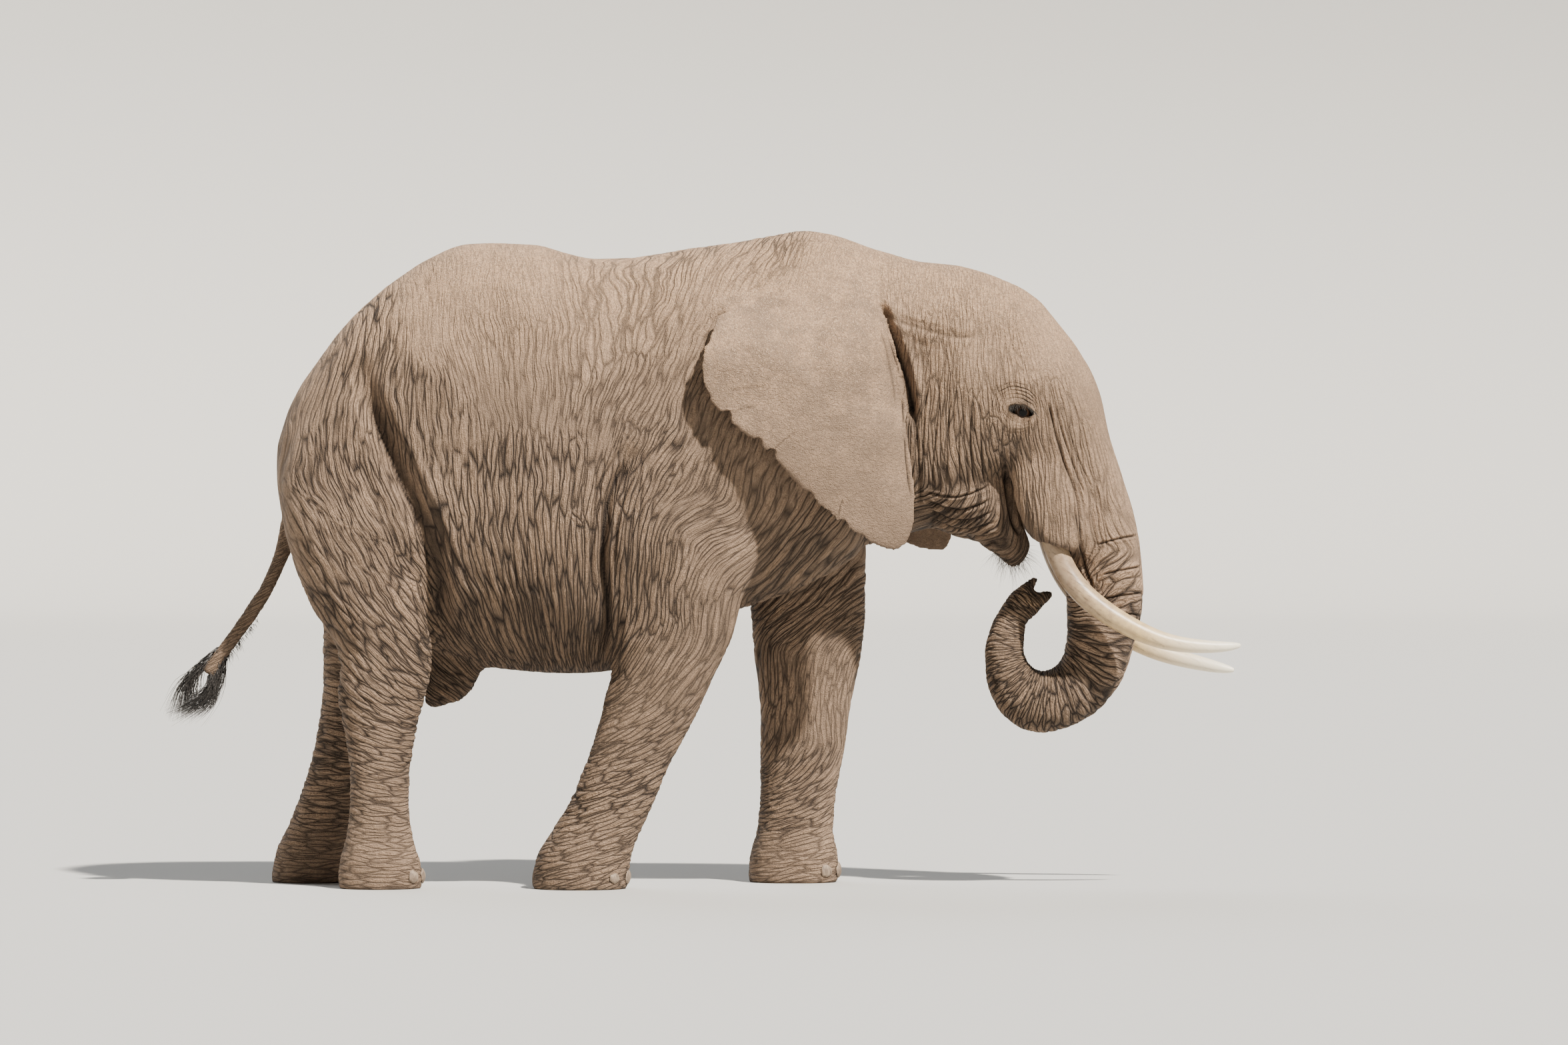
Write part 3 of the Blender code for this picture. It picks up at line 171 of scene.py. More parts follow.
# How the wrinkles run in the side view. Each line has points x, z along a wrinkle, then its density (how
# often the spacing above fits), squareness (width over length of the cells between creases), and the
# strength of the coarse and the main folds. Neighbouring lines turn the same side to each other.
FLOW = {
    "torso": (
        (((-1.09, 2.99), (-1.08, 2.80)), 1.3, 0.14, 0.0, 0.25),
        (((-0.78, 2.99), (-0.76, 2.77)), 1.3, 0.14, 0.0, 0.25),
        (((-0.45, 2.92), (-0.46, 2.77), (-0.42, 2.55)), 0.8, 0.11, 0.0, 0.5),
        (((-0.23, 2.97), (-0.20, 2.80), (-0.28, 2.55)), 0.8, 0.09, 0.0, 0.6),
        (((0.07, 3.01), (0.01, 2.80), (-0.15, 2.55)), 1.0, 0.09, 0.0, 0.7),
        (((0.37, 3.08), (0.26, 2.92), (0.13, 2.77)), 1.1, 0.09, 0.0, 0.8),
        (((0.64, 3.05), (0.61, 2.86)), 1.5, 0.26, 0.0, 0.3),
        (((-1.35, 2.83), (-1.25, 2.55)), 1.4, 0.12, 0.0, 0.3),
        (((-1.09, 2.55), (-0.91, 2.23)), 1.3, 0.08, 0.0, 0.5),
        (((-0.72, 2.55), (-0.78, 2.17)), 1.3, 0.07, 0.0, 0.5),
        (((-0.28, 2.48), (-0.46, 2.14), (-0.56, 1.79)), 1.1, 0.12, 0.12, 0.8),
        (((0.01, 2.67), (-0.15, 2.39), (-0.31, 2.14)), 1.1, 0.14, 0.0, 0.7),
        (((-0.31, 2.14), (-0.39, 1.88), (-0.45, 1.57), (-0.48, 1.19)), 1.0, 0.055, 0.18, 1.0),
        (((-0.56, 2.04), (-0.60, 1.66), (-0.63, 1.21)), 1.0, 0.055, 0.24, 1.0),
        (((-0.81, 2.10), (-0.75, 1.66), (-0.67, 1.22)), 1.0, 0.055, 0.24, 1.0),
        (((-1.09, 2.14), (-0.91, 1.66), (-0.72, 1.24)), 1.0, 0.055, 0.3, 1.0),
        (((-1.28, 2.32), (-1.09, 1.92), (-0.81, 1.35)), 1.0, 0.055, 0.3, 1.0),
        (((-1.49, 2.65), (-1.31, 2.32), (-1.11, 2.07)), 1.0, 0.09, 0.0, 1.0),
        (((-1.44, 2.17), (-1.28, 1.79), (-1.13, 1.41), (-0.97, 1.13)), 1.0, 0.1, 0.36, 1.0),
        (((-1.18, 1.35), (-1.08, 1.17), (-0.89, 1.08)), 1.1, 0.11, 0.36, 1.0),
        (((-0.69, 1.19), (-0.64, 1.06)), 1.0, 0.11, 0.36, 1.0),
        (((-0.46, 1.16), (-0.46, 1.03)), 1.0, 0.11, 0.3, 0.9),
        (((-1.50, 2.77), (-1.57, 2.48), (-1.54, 2.17)), 1.1, 0.08, 0.0, 1.0),
        (((-1.63, 2.67), (-1.66, 2.42), (-1.60, 2.14)), 1.2, 0.08, 0.0, 1.0),
        (((-1.72, 2.55), (-1.87, 2.29), (-1.93, 2.01)), 1.2, 0.1, 0.0, 1.0),
        (((-1.90, 2.17), (-1.79, 1.88), (-1.54, 1.69)), 1.1, 0.13, 0.42, 1.0),
        (((-1.60, 2.17), (-1.41, 1.79), (-1.25, 1.41)), 1.1, 0.13, 0.42, 1.0),
        (((-1.90, 1.85), (-1.66, 1.66), (-1.35, 1.47)), 1.1, 0.19, 0.54, 1.0),
        (((-1.86, 1.55), (-1.62, 1.40), (-1.28, 1.24)), 1.1, 0.18, 0.48, 1.0),
    ),
    "hind_right": (
        (((-1.76, 1.25), (-1.54, 1.11), (-1.28, 1.03)), 1.1, 0.14, 0.6, 1.0),
        (((-1.69, 1.03), (-1.54, 0.92), (-1.31, 0.82)), 1.2, 0.11, 0.7, 1.0),
        (((-1.66, 0.78), (-1.54, 0.72), (-1.35, 0.70)), 1.3, 0.12, 0.5, 0.9),
        (((-1.66, 0.47), (-1.50, 0.43), (-1.35, 0.43)), 1.3, 0.12, 0.4, 0.8),
        (((-1.66, 0.18), (-1.50, 0.16), (-1.33, 0.18)), 1.4, 0.14, 0.3, 0.6),
    ),
    "fore_right": (
        (((-0.09, 2.08), (-0.23, 1.99), (-0.33, 1.82)), 1.2, 0.11, 0.4, 1.0),
        (((-0.28, 1.76), (-0.31, 1.51), (-0.35, 1.16)), 1.2, 0.08, 0.5, 1.0),
        (((-0.12, 1.66), (-0.15, 1.35)), 1.2, 0.09, 0.4, 0.9),
        (((0.23, 1.69), (0.07, 1.73), (-0.12, 1.69)), 1.2, 0.11, 0.3, 0.8),
        (((0.26, 1.47), (0.09, 1.51), (-0.06, 1.44)), 1.2, 0.11, 0.3, 0.8),
        (((0.20, 1.35), (0.04, 1.16), (-0.28, 1.08)), 1.2, 0.14, 0.2, 0.7),
        (((0.09, 1.08), (-0.15, 0.91), (-0.43, 0.77)), 1.3, 0.14, 0.15, 0.65),
        (((-0.09, 0.75), (-0.28, 0.66), (-0.53, 0.56)), 1.4, 0.14, 0.3, 0.8),
        (((-0.21, 0.53), (-0.37, 0.47), (-0.59, 0.40)), 1.4, 0.12, 0.6, 1.0),
        (((-0.31, 0.28), (-0.46, 0.23), (-0.65, 0.20)), 1.4, 0.14, 0.4, 0.8),
    ),
    "hind_left": (
        (((-2.04, 1.16), (-1.91, 1.06), (-1.72, 1.03)), 1.1, 0.14, 0.4, 0.9),
        (((-2.04, 0.78), (-1.88, 0.72), (-1.69, 0.70)), 1.3, 0.12, 0.4, 0.9),
        (((-1.98, 0.40), (-1.82, 0.37), (-1.63, 0.39)), 1.3, 0.12, 0.4, 0.8),
        (((-1.98, 0.15), (-1.82, 0.14), (-1.63, 0.15)), 1.4, 0.14, 0.3, 0.6),
    ),
    "fore_left": (
        (((0.76, 1.35), (0.61, 1.25), (0.32, 1.16)), 1.4, 0.11, 0.2, 0.8),
        (((0.32, 1.16), (0.31, 0.91)), 1.5, 0.09, 0.2, 0.9),
        (((0.61, 1.06), (0.60, 0.72)), 1.7, 0.11, 0.1, 0.6),
        (((0.35, 0.84), (0.35, 0.62)), 1.5, 0.11, 0.15, 0.8),
        (((0.70, 0.62), (0.54, 0.51), (0.32, 0.43)), 1.5, 0.12, 0.4, 0.9),
        (((0.70, 0.40), (0.54, 0.34), (0.32, 0.29)), 1.5, 0.12, 0.4, 0.9),
        (((0.70, 0.18), (0.51, 0.15), (0.32, 0.14)), 1.5, 0.14, 0.3, 0.6),
    ),
    "chest and neck": (
        (((0.76, 1.69), (0.51, 1.54), (0.26, 1.38)), 1.0, 0.11, 0.6, 0.9),
        (((0.80, 1.51), (0.54, 1.41), (0.32, 1.32)), 1.0, 0.11, 0.6, 0.9),
        (((0.48, 2.17), (0.32, 1.92), (0.23, 1.69)), 1.0, 0.14, 0.3, 0.7),
        (((0.17, 2.42), (0.04, 2.17), (-0.02, 1.92)), 1.0, 0.14, 0.3, 0.7),
        (((0.89, 1.85), (0.83, 1.66)), 1.2, 0.14, 0.5, 0.9),
        (((0.76, 2.92), (0.76, 2.70)), 1.4, 0.14, 0.0, 0.3),
        (((0.83, 2.55), (0.89, 2.23), (0.94, 1.98)), 1.3, 0.11, 0.3, 0.8),
    ),
    "head": (
        (((1.11, 2.92), (1.10, 2.77)), 1.7, 0.14, 0.0, 0.22),
        (((1.43, 2.83), (1.43, 2.67)), 1.7, 0.14, 0.0, 0.25),
        (((1.61, 2.67), (1.66, 2.48)), 1.7, 0.14, 0.0, 0.15),
        (((1.11, 2.61), (1.09, 2.42)), 1.5, 0.09, 0.1, 0.6),
        (((1.30, 2.55), (1.28, 2.39)), 1.7, 0.10, 0.05, 0.4),
        (((1.80, 2.42), (1.85, 2.23)), 1.7, 0.14, 0.0, 0.19),
        (((1.08, 2.32), (1.05, 2.04), (1.05, 1.88)), 1.35, 0.07, 0.3, 0.8),
        (((1.19, 2.29), (1.17, 2.04), (1.17, 1.87)), 1.35, 0.07, 0.35, 0.8),
        (((1.29, 2.23), (1.30, 2.01), (1.32, 1.87)), 1.35, 0.07, 0.35, 0.8),
        (((1.39, 2.14), (1.39, 1.98), (1.39, 1.85)), 1.5, 0.19, 0.3, 0.8),
        (((1.36, 1.84), (1.19, 1.78), (1.05, 1.84)), 1.1, 0.11, 1.0, 1.0),
        (((1.38, 1.71), (1.20, 1.66), (1.06, 1.76)), 1.1, 0.11, 1.0, 1.0),
        (((1.43, 1.60), (1.27, 1.57)), 1.2, 0.17, 0.8, 0.8),
        (((1.43, 2.01), (1.46, 1.82), (1.50, 1.66)), 1.3, 0.11, 0.3, 0.8),
        (((1.57, 2.10), (1.55, 1.85), (1.58, 1.63)), 1.3, 0.07, 0.2, 0.75),
        (((1.71, 2.01), (1.69, 1.79), (1.71, 1.58)), 1.3, 0.08, 0.2, 0.46),
        (((1.63, 2.32), (1.68, 2.14), (1.78, 1.85), (1.81, 1.60)), 1.2, 0.07, 0.35, 0.5),
        (((1.74, 2.26), (1.87, 1.92), (1.90, 1.66)), 1.1, 0.08, 0.25, 0.56),
        (((1.90, 2.04), (1.97, 1.79), (2.02, 1.63)), 1.1, 0.14, 0.2, 0.53),
        (((1.82, 1.51), (1.87, 1.41)), 1.1, 0.26, 0.4, 0.56),
    ),
}
GRID_STEP = 0.02          # of the side view's grid on which the wrinkles are laid out
LINE_CORE = 0.04          # nearer than this to a line, its values hardly change any more


# ---- arrays and meshes -----------------------------------------------------------------------------
def ramp(value, low, high):
    """0 up to low, 1 from high on, and smooth between them; low may be the larger one."""
    t = np.clip((value - low) / (high - low), 0, 1)
    return t * t * (3 - 2 * t)


def read(items, field, width=3, kind=np.float32):
    """A field of a mesh's vertices, edges, faces or corners, as an array of rows."""
    values = np.empty(len(items) * width, kind)
    items.foreach_get(field, values)
    return values.reshape(-1, width)


def vertex_array(mesh):
    return read(mesh.vertices, "co").astype(float)


def move_vertices(mesh, points):
    mesh.vertices.foreach_set("co", points.astype(np.float32).ravel())
    mesh.update()


def add_object(name, mesh):
    thing = bpy.data.objects.new(name, mesh)
    bpy.context.scene.collection.objects.link(thing)
    return thing


def mesh_of(name, points, faces):
    mesh = bpy.data.meshes.new(name)
    mesh.from_pydata([tuple(p) for p in points], [], [tuple(f) for f in faces])
    mesh.update()
    return mesh


def applied(thing):
    """An object whose modifiers are turned into its mesh."""
    graph = bpy.context.evaluated_depsgraph_get()
    thing.data = bpy.data.meshes.new_from_object(thing.evaluated_get(graph))
    thing.modifiers.clear()
    return thing


def taken(thing):
    """An object's points and faces; the object goes."""
    lists = vertex_array(thing.data), [list(p.vertices) for p in thing.data.polygons]
    bpy.data.objects.remove(thing)
    return lists


def links_of(mesh):
    """Both ends of every edge, and how many edges meet at each vertex."""
    ends = read(mesh.edges, "vertices", 2, np.int32)
    count = np.bincount(ends.ravel(), minlength=len(mesh.vertices))
    return ends[:, 0].copy(), ends[:, 1].copy(), np.maximum(count, 1)


def relaxed(values, links, rounds, strength=0.5):
    """Values at the vertices, each drawn towards the mean of its neighbours, again and again."""
    start, end, count = links
    columns = values.reshape(len(values), -1).astype(float).T.copy()
    for _ in range(rounds):
        for column in columns:
            total = np.bincount(start, column[end], len(column))
            total += np.bincount(end, column[start], len(column))
            column += strength * (total / count - column)
    return columns.T.reshape(values.shape)


def relaxed_near(points, links, share, rounds):
    """Points relaxed by a share of their own, worked out only where that share counts."""
    start, end, _ = links
    inside = share > 0.01      # the rest stays where it is
    kept = inside[start] | inside[end]
    used = np.unique(np.concatenate((start[kept], end[kept])))
    number = np.zeros(len(points), np.int64)
    number[used] = np.arange(len(used))
    ends = number[start[kept]], number[end[kept]]
    count = np.bincount(np.concatenate(ends), minlength=len(used))
    moved = points.copy()
    moved[used] = relaxed(points[used], (*ends, count), rounds, 0.6 * share[used] * inside[used])
    return moved


# ---- one skin over the nodes of flesh --------------------------------------------------------------
def welded(node, grow):
    """A frame node as a closed bmesh, grown along its normals."""
    shaped = bmesh.new()
    shaped.from_mesh(NODES[node].data)
    bmesh.ops.remove_doubles(shaped, verts=shaped.verts, dist=1e-5)
    shaped.normal_update()
    for vertex in shaped.verts:
        vertex.co += vertex.normal * grow
    return shaped


def merged(pieces):
    """Several pairs of points and faces as one pair."""
    points, faces = [], []
    for own_points, own_faces in pieces:
        base = len(points)
        points.extend(own_points)
        faces.extend([base + i for i in face] for face in own_faces)
    return points, faces


def joined(pieces):
    return add_object("joined", mesh_of("joined", *merged(pieces)))


def lists_of(shaped):
    """The points and faces of a bmesh, which goes."""
    shaped.verts.ensure_lookup_table()
    lists = ([v.co.copy() for v in shaped.verts], [[v.index for v in f.verts] for f in shaped.faces])
    shaped.free()
    return lists


def remeshed(thing, voxel):
    remesh = thing.modifiers.new("remesh", "REMESH")
    remesh.mode = "VOXEL"
    remesh.voxel_size = voxel
    return applied(thing)


def large_faced(node, grow, flatness):
    """A frame node as a bmesh whose triangles are joined where they are flat enough."""
    shaped = welded(node, grow)
    bmesh.ops.join_triangles(shaped, faces=shaped.faces, angle_face_threshold=flatness,
                             angle_shape_threshold=flatness)
    return shaped


def subdivided(shaped, levels):
    """The points and faces of a bmesh after rounding; the bmesh goes."""
    thing = add_object("rounding", bpy.data.meshes.new("rounding"))
    shaped.to_mesh(thing.data)
    shaped.free()
    rounding = thing.modifiers.new("rounding", "SUBSURF")
    rounding.levels = levels
    rounding.render_levels = levels
    return taken(applied(thing))


def tree_of(nodes):
    """A search tree over nodes, and the index of the node that each of its faces belongs to."""
    pieces = [lists_of(welded(node, 0)) for node in nodes]
    owners = [index for index, (_, faces) in enumerate(pieces) for _ in faces]
    return BVHTree.FromPolygons(*merged(pieces)), np.array(owners)


def owners_of(points):
    """The flesh node, as an index, that lies nearest to each point."""
    tree, owners = tree_of(FLESH)
    return owners[[tree.find_nearest(Vector(p))[2] for p in points]]


def smooth_body():
    """The body without ears and tail, its facets smoothed away and its girth kept."""
    body = remeshed(joined([lists_of(welded(n, OVERLAP)) for n in BODY_NODES]), COARSE_VOXEL)
    points = vertex_array(body.data)
    links = links_of(body.data)
    x, z = points[:, 0], points[:, 2]
    curl = ramp(x, 1.30, 1.36) * ramp(z, 1.60, 1.50) * ramp(x, 1.85, 1.70) * ramp(z, 0.95, 1.25)
    sole = ramp(z, 0.03, 0.0)
    strength = 0.5 * (1 - 0.8 * curl) * (1 - sole)
    soft = relaxed(points, links, BODY_ROUNDS, strength)
    soft -= relaxed(soft - points, links, GIRTH_ROUNDS, 0.5) * (1 - sole)[:, None]
    move_vertices(body.data, soft)
    return body


def fitted_sheet(node, tree):
    """An ear or the tail, rounded, with its root sunk into the body."""
    shaped = large_faced(node, 0, 0.7)
    for vertex in shaped.verts:
        _, normal, _, away = tree.find_nearest(vertex.co)
        if away < ROOT_REACH:
            vertex.co -= normal * ROOT_DEPTH
    return subdivided(shaped, 2)


def refine(mesh, chosen):
    """Halve the edges of the faces that a test on face centres picks."""
    shaped = bmesh.new()
    shaped.from_mesh(mesh)
    picked = chosen(read(mesh.polygons, "center").astype(float))
    shaped.faces.ensure_lookup_table()
    edges = set()
    for index in np.nonzero(picked)[0]:
        edges.update(shaped.faces[index].edges)
    bmesh.ops.subdivide_edges(shaped, edges=list(edges), cuts=1, use_grid_fill=True)
    shaped.to_mesh(mesh)
    shaped.free()
    mesh.update()


def eye_spot(side):
    low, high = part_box(f"eye_{side}")
    return (low + high) / 2


def head_faces(centres):
    """Which face centres lie on the head, but not on the left ear."""
    return (centres[:, 0] > 1.055) & ((centres[:, 1] < MID_PLANE + 0.40) | (centres[:, 0] > 1.25))


def near_eyes(reach):
    """A test for face centres within reach of an eye."""
    spots = [np.array(eye_spot(side)) for side, _ in SIDES]

    def chosen(centres):
        return np.min([np.linalg.norm(centres - spot, axis=1) for spot in spots], axis=0) < reach
    return chosen


def tube(points, radii, sides):
    """Rings of points round a line in space, and the faces between them, closed at both ends."""
    points = np.array(points, float)
    runs = np.gradient(points, axis=0)
    runs /= np.linalg.norm(runs, axis=1)[:, None]
    side = np.cross(runs, (0.0, 1.0, 0.0) if abs(runs[0][1]) < 0.9 else (1.0, 0.0, 0.0))
    side /= np.linalg.norm(side, axis=1)[:, None]
    other = np.cross(runs, side)
    rings = []
    for k in range(sides):
        turn = 2 * math.pi * k / sides
        rings.append(points + (side * math.cos(turn) + other * math.sin(turn)) * np.array(radii)[:, None])
    corners = np.stack(rings, 1).reshape(-1, 3)
    faces = [[row * sides + k, row * sides + (k + 1) % sides, (row + 1) * sides + (k + 1) % sides,
              (row + 1) * sides + k] for row in range(len(points) - 1) for k in range(sides)]
    faces += [list(range(sides))[::-1], [(len(points) - 1) * sides + k for k in range(sides)]]
    return [Vector(c) for c in corners], faces


def fingers():
    """The trunk's two fingers, with round ends."""
    pieces = []
    for rows in FINGERS:
        table = smooth_line(rows, 5)
        middle, radius = table[-1, :2], table[-1, 2]
        ahead = middle - table[-3, :2]
        tip = radius * ahead / np.linalg.norm(ahead)
        caps = [(*(middle + tip * math.sin(a)), radius * math.cos(a)) for a in (0.4, 0.8, 1.15, 1.4)]
        table = np.vstack((table, caps))
        line = np.column_stack((table[:, 0], np.full(len(table), MID_PLANE), table[:, 1]))
        points, faces = tube(line, table[:, 2], 20)
        wide = [Vector((p.x, MID_PLANE + FINGER_WIDTH * (p.y - MID_PLANE), p.z)) for p in points]
        pieces.append((wide, faces))
    return pieces


def skin_mesh():
    """One skin over all the nodes of flesh, before its wrinkles."""
    tree, _ = tree_of(BODY_NODES)
    parts = [taken(smooth_body())]
    parts += [fitted_sheet(node, tree) for node in EAR_NODES + TAIL_NODES[:1]]
    parts.append(lists_of(welded("tail_end", OVERLAP)))
    parts += fingers()
    skin = remeshed(joined(parts), SKIN_VOXEL)
    skin.name = "skin"
    skin.data.name = "skin"
    move_vertices(skin.data, relaxed(vertex_array(skin.data), links_of(skin.data), 6))
    for chosen in (head_faces, near_eyes(0.155), near_eyes(0.080)):
        refine(skin.data, chosen)
    links = links_of(skin.data)
    melting = ear_melting(skin.data, links)
    points = relaxed_near(vertex_array(skin.data), links, melting, MELTING_ROUNDS)
    soft = relaxed(points, links, 3)
    flat = ramp(points[:, 2], 0.012, 0.0)[:, None]
    move_vertices(skin.data, soft * (1 - flat) + points * flat)
    return skin


def ear_melting(mesh, links):
    """How much the skin is smoothed along the top of the ears, where they melt into the neck."""
    points = vertex_array(mesh)
    ears = [FLESH.index(node) for node in EAR_NODES]
    share = relaxed(np.isin(owners_of(points), ears).astype(float), links, 80)
    melting = np.clip(5.0 * share * (1 - share), 0, 1) * ramp(points[:, 2], 2.62, 2.72)
    return melting * (ramp(points[:, 0], 0.02, 0.12) * ramp(points[:, 0], 0.86, 0.78))


# ---- where things are on the skin ------------------------------------------------------------------
class Places:
    """The skin's vertices: where they are, which way they face and what they belong to."""

    def __init__(self, mesh):
        self.points = vertex_array(mesh)
        self.normals = read(mesh.vertex_normals, "vector").astype(float)
        self.x = self.points[:, 0]
        self.y = self.points[:, 1] - MID_PLANE
        self.z = self.points[:, 2]
        self.out = self.normals[:, 1] * np.sign(self.y)
        self.right = self.y < 0
        self.node = owners_of(self.points)
        self.links = links_of(mesh)
        self.shares = {}

    def of(self, *names, rounds=0):
        """1 on the nodes with these names and 0 elsewhere, blurred over so many rounds."""
        if (names, rounds) not in self.shares:
            wanted = [index for index, node in enumerate(FLESH) if node.startswith(names)]
            share = np.isin(self.node, wanted).astype(float)
            self.shares[names, rounds] = relaxed(share, self.links, rounds) if rounds else share
        return self.shares[names, rounds]


def smooth_line(line, steps):
    """Points on a smooth curve through the points of a line, in any number of dimensions."""
    corners = np.array(line, float)
    padded = np.vstack((2 * corners[0] - corners[1], corners, 2 * corners[-1] - corners[-2]))
    dense = []
    for a, b, c, d in zip(padded[:-3], padded[1:-2], padded[2:-1], padded[3:]):
        for t in np.linspace(0, 1, steps, endpoint=False):
            dense.append(0.5 * (2 * b + (c - a) * t + (2 * a - 5 * b + 4 * c - d) * t * t
                                + (3 * b - a - 3 * c + d) * t ** 3))
    dense.append(corners[-1])
    return np.array(dense)


class Field:
    """Wrinkle coordinates in the side view, worked out from lines along the wrinkles."""

    def __init__(self, lines, places, chosen):
        low = np.array((places.x.min(), places.z.min())) - 4 * GRID_STEP
        size = (np.array((places.x.max(), places.z.max())) - low) / GRID_STEP + 6
        self.low = low
        self.shape = tuple(size.astype(int))
        steps = [low[k] + GRID_STEP * np.arange(self.shape[k]) for k in (0, 1)]
        across, up = np.meshgrid(*steps, indexing="ij")
        total = np.full(self.shape, 1e-9)
        sums = np.zeros((6,) + self.shape)
        for points, *values in lines:
            for (xa, za), (xb, zb) in zip(points[:-1], points[1:]):
                length = math.hypot(xb - xa, zb - za)
                along = ((xb - xa) / length, (zb - za) / length)
                t = np.clip((across - xa) * along[0] + (up - za) * along[1], 0, length)
                away = (across - xa - t * along[0]) ** 2 + (up - za - t * along[1]) ** 2
                weight = (away + LINE_CORE ** 2) ** -1.7
                total += weight
                for row, value in zip(sums, (*along, math.log(values[0]), *values[1:])):
                    row += weight * value
        sums /= total
        size = np.hypot(sums[0], sums[1]) + 1e-6
        along = sums[:2] / size
        density = np.exp(sums[2])
        body = np.zeros(self.shape, bool)
        cells = self.cells(places.x[chosen], places.z[chosen])
        body[np.round(cells[0]).astype(int), np.round(cells[1]).astype(int)] = True
        mask = np.where(body, 1.0, 0.003)
        self.layers = [
            potential((-along[1] * density, along[0] * density), mask),
            potential((along[0] * density * sums[3], along[1] * density * sums[3]), mask),
            density * sums[3], sums[4], sums[5],
        ]
        self.layers.append(np.hypot(*np.gradient(self.layers[0], GRID_STEP)) / density)

    def cells(self, x, z):
        """The same points counted in cells of the grid."""
        return [np.clip((value - self.low[k]) / GRID_STEP, 0, self.shape[k] - 1.001)
                for k, value in enumerate((x, z))]

    def at(self, x, z):
        """Every layer at points of the side view."""
        across, up = self.cells(x, z)
        i, j = across.astype(int), up.astype(int)
        s, t = across - i, up - j
        return [(layer[i, j] * (1 - s) + layer[i + 1, j] * s) * (1 - t)
                + (layer[i, j + 1] * (1 - s) + layer[i + 1, j + 1] * s) * t for layer in self.layers]


def potential(slope, mask, rounds=900):
    """The function on the grid whose slope comes nearest to the one wanted, by conjugate gradients."""
    wanted = [0.5 * (slope[0][1:] + slope[0][:-1]) * GRID_STEP,
              0.5 * (slope[1][:, 1:] + slope[1][:, :-1]) * GRID_STEP]
    weights = [np.minimum(mask[1:], mask[:-1]), np.minimum(mask[:, 1:], mask[:, :-1])]

    def spread(across, up):
        total = np.zeros(mask.shape)
        total[1:] += across
        total[:-1] -= across
        total[:, 1:] += up
        total[:, :-1] -= up
        return total

    def pull(value):
        return spread(weights[0] * (value[1:] - value[:-1]), weights[1] * (value[:, 1:] - value[:, :-1]))

    found = np.zeros(mask.shape)
    rest = spread(weights[0] * wanted[0], weights[1] * wanted[1])
    way = rest.copy()
    energy = (rest * rest).sum()
    for _ in range(rounds):
        step = pull(way)
        length = energy / (way * step).sum()
        found += length * way
        rest -= length * step
        before, energy = energy, (rest * rest).sum()
        way = rest + energy / before * way
    return found


def trunk_rings():
    """Lines across the trunk, closer together towards its tip."""
    line = TRUNK_LINE[3:]
    rings = []
    for k in range(1, len(line) - 1):
        run = Vector(line[k + 1]) - Vector(line[k - 1])
        run.normalize()
        side = Vector((run.y, -run.x)) * 0.12
        middle = Vector(line[k])
        share = k / (len(line) - 2)
        rings.append(((tuple(middle - side), tuple(middle + side)),
                      1.0 + 1.4 * ramp(share, 0.15, 0.75), 0.13 - 0.05 * share, 0.30 * (1 - share), 1.0))
    return rings


def flow_maps(places):
    """Two maps from the skin to wrinkle space, in which wrinkles follow one coordinate's contours.

    The first holds on body, head, trunk and legs, the second on ears and tail. With them come the share
    of the second, the strengths of the coarse and of the main folds, where the first map's lines are so
    far apart that a denser copy of it takes over, and how freely the folds sway each way.
    """
    x, y, z = places.x, places.y, places.z
    shared = FLOW["torso"] + FLOW["chest and neck"] + FLOW["head"] + tuple(trunk_rings())
    solid = places.of("ear", "tail") < 0.5
    sides = []
    for word, chosen in (("right", y < 0.05), ("left", y > -0.05)):
        field = Field(shared + FLOW[f"hind_{word}"] + FLOW[f"fore_{word}"], places, solid & chosen)
        sides.append(field.at(x, z))
    left = ramp(y, -0.08, 0.08)
    across, along, square, coarse, main, spread = [a * (1 - left) + b * left for a, b in zip(*sides)]
    first = np.column_stack((across, along, y * square))
    dense = relaxed(ramp(spread, 0.92, 0.60) * ramp(x, 0.95, 0.80), places.links, 30)

    ears = np.column_stack((z * 1.1 + 0.3 * x, 0.55 * x - 0.3 * z, 0.6 * y)) * 1.2
    tail = np.column_stack((2.2 * z - 1.1 * x, 0.3 * x, 0.3 * y))
    is_ear = x > FOREMOST_OF_TAIL
    second = np.where(is_ear[:, None], ears, tail)
    share = places.of("ear", "tail", rounds=60)
    coarse = coarse * (1 - share)
    main = main * (1 - share) + np.where(is_ear, 0.13, 0.55) * share
    from_root, _ = line_distance(x, z, smooth_line(EAR_ROOT, 4))
    calm = 1 - 0.75 * np.exp(-(from_root / 0.17) ** 2)
    endways = ramp(np.abs(places.normals[:, 0]), 0.55, 0.90) * ramp(z, 1.35, 1.60)
    coarse = coarse * (1 - 0.8 * endways)
    main = main * (1 - 0.5 * endways)
    sway = np.column_stack((np.ones(len(x)), square * 0.9, square * 0.9))
    return first, second, share, coarse * calm ** 2, main * (0.2 + 0.8 * calm), dense, sway


def set_attribute(mesh, name, values):
    kind, field = ("FLOAT_VECTOR", "vector") if values.ndim == 2 else ("FLOAT", "value")
    made = mesh.attributes.new(name, kind, "POINT")
    made.data.foreach_set(field, values.astype(np.float32).ravel())


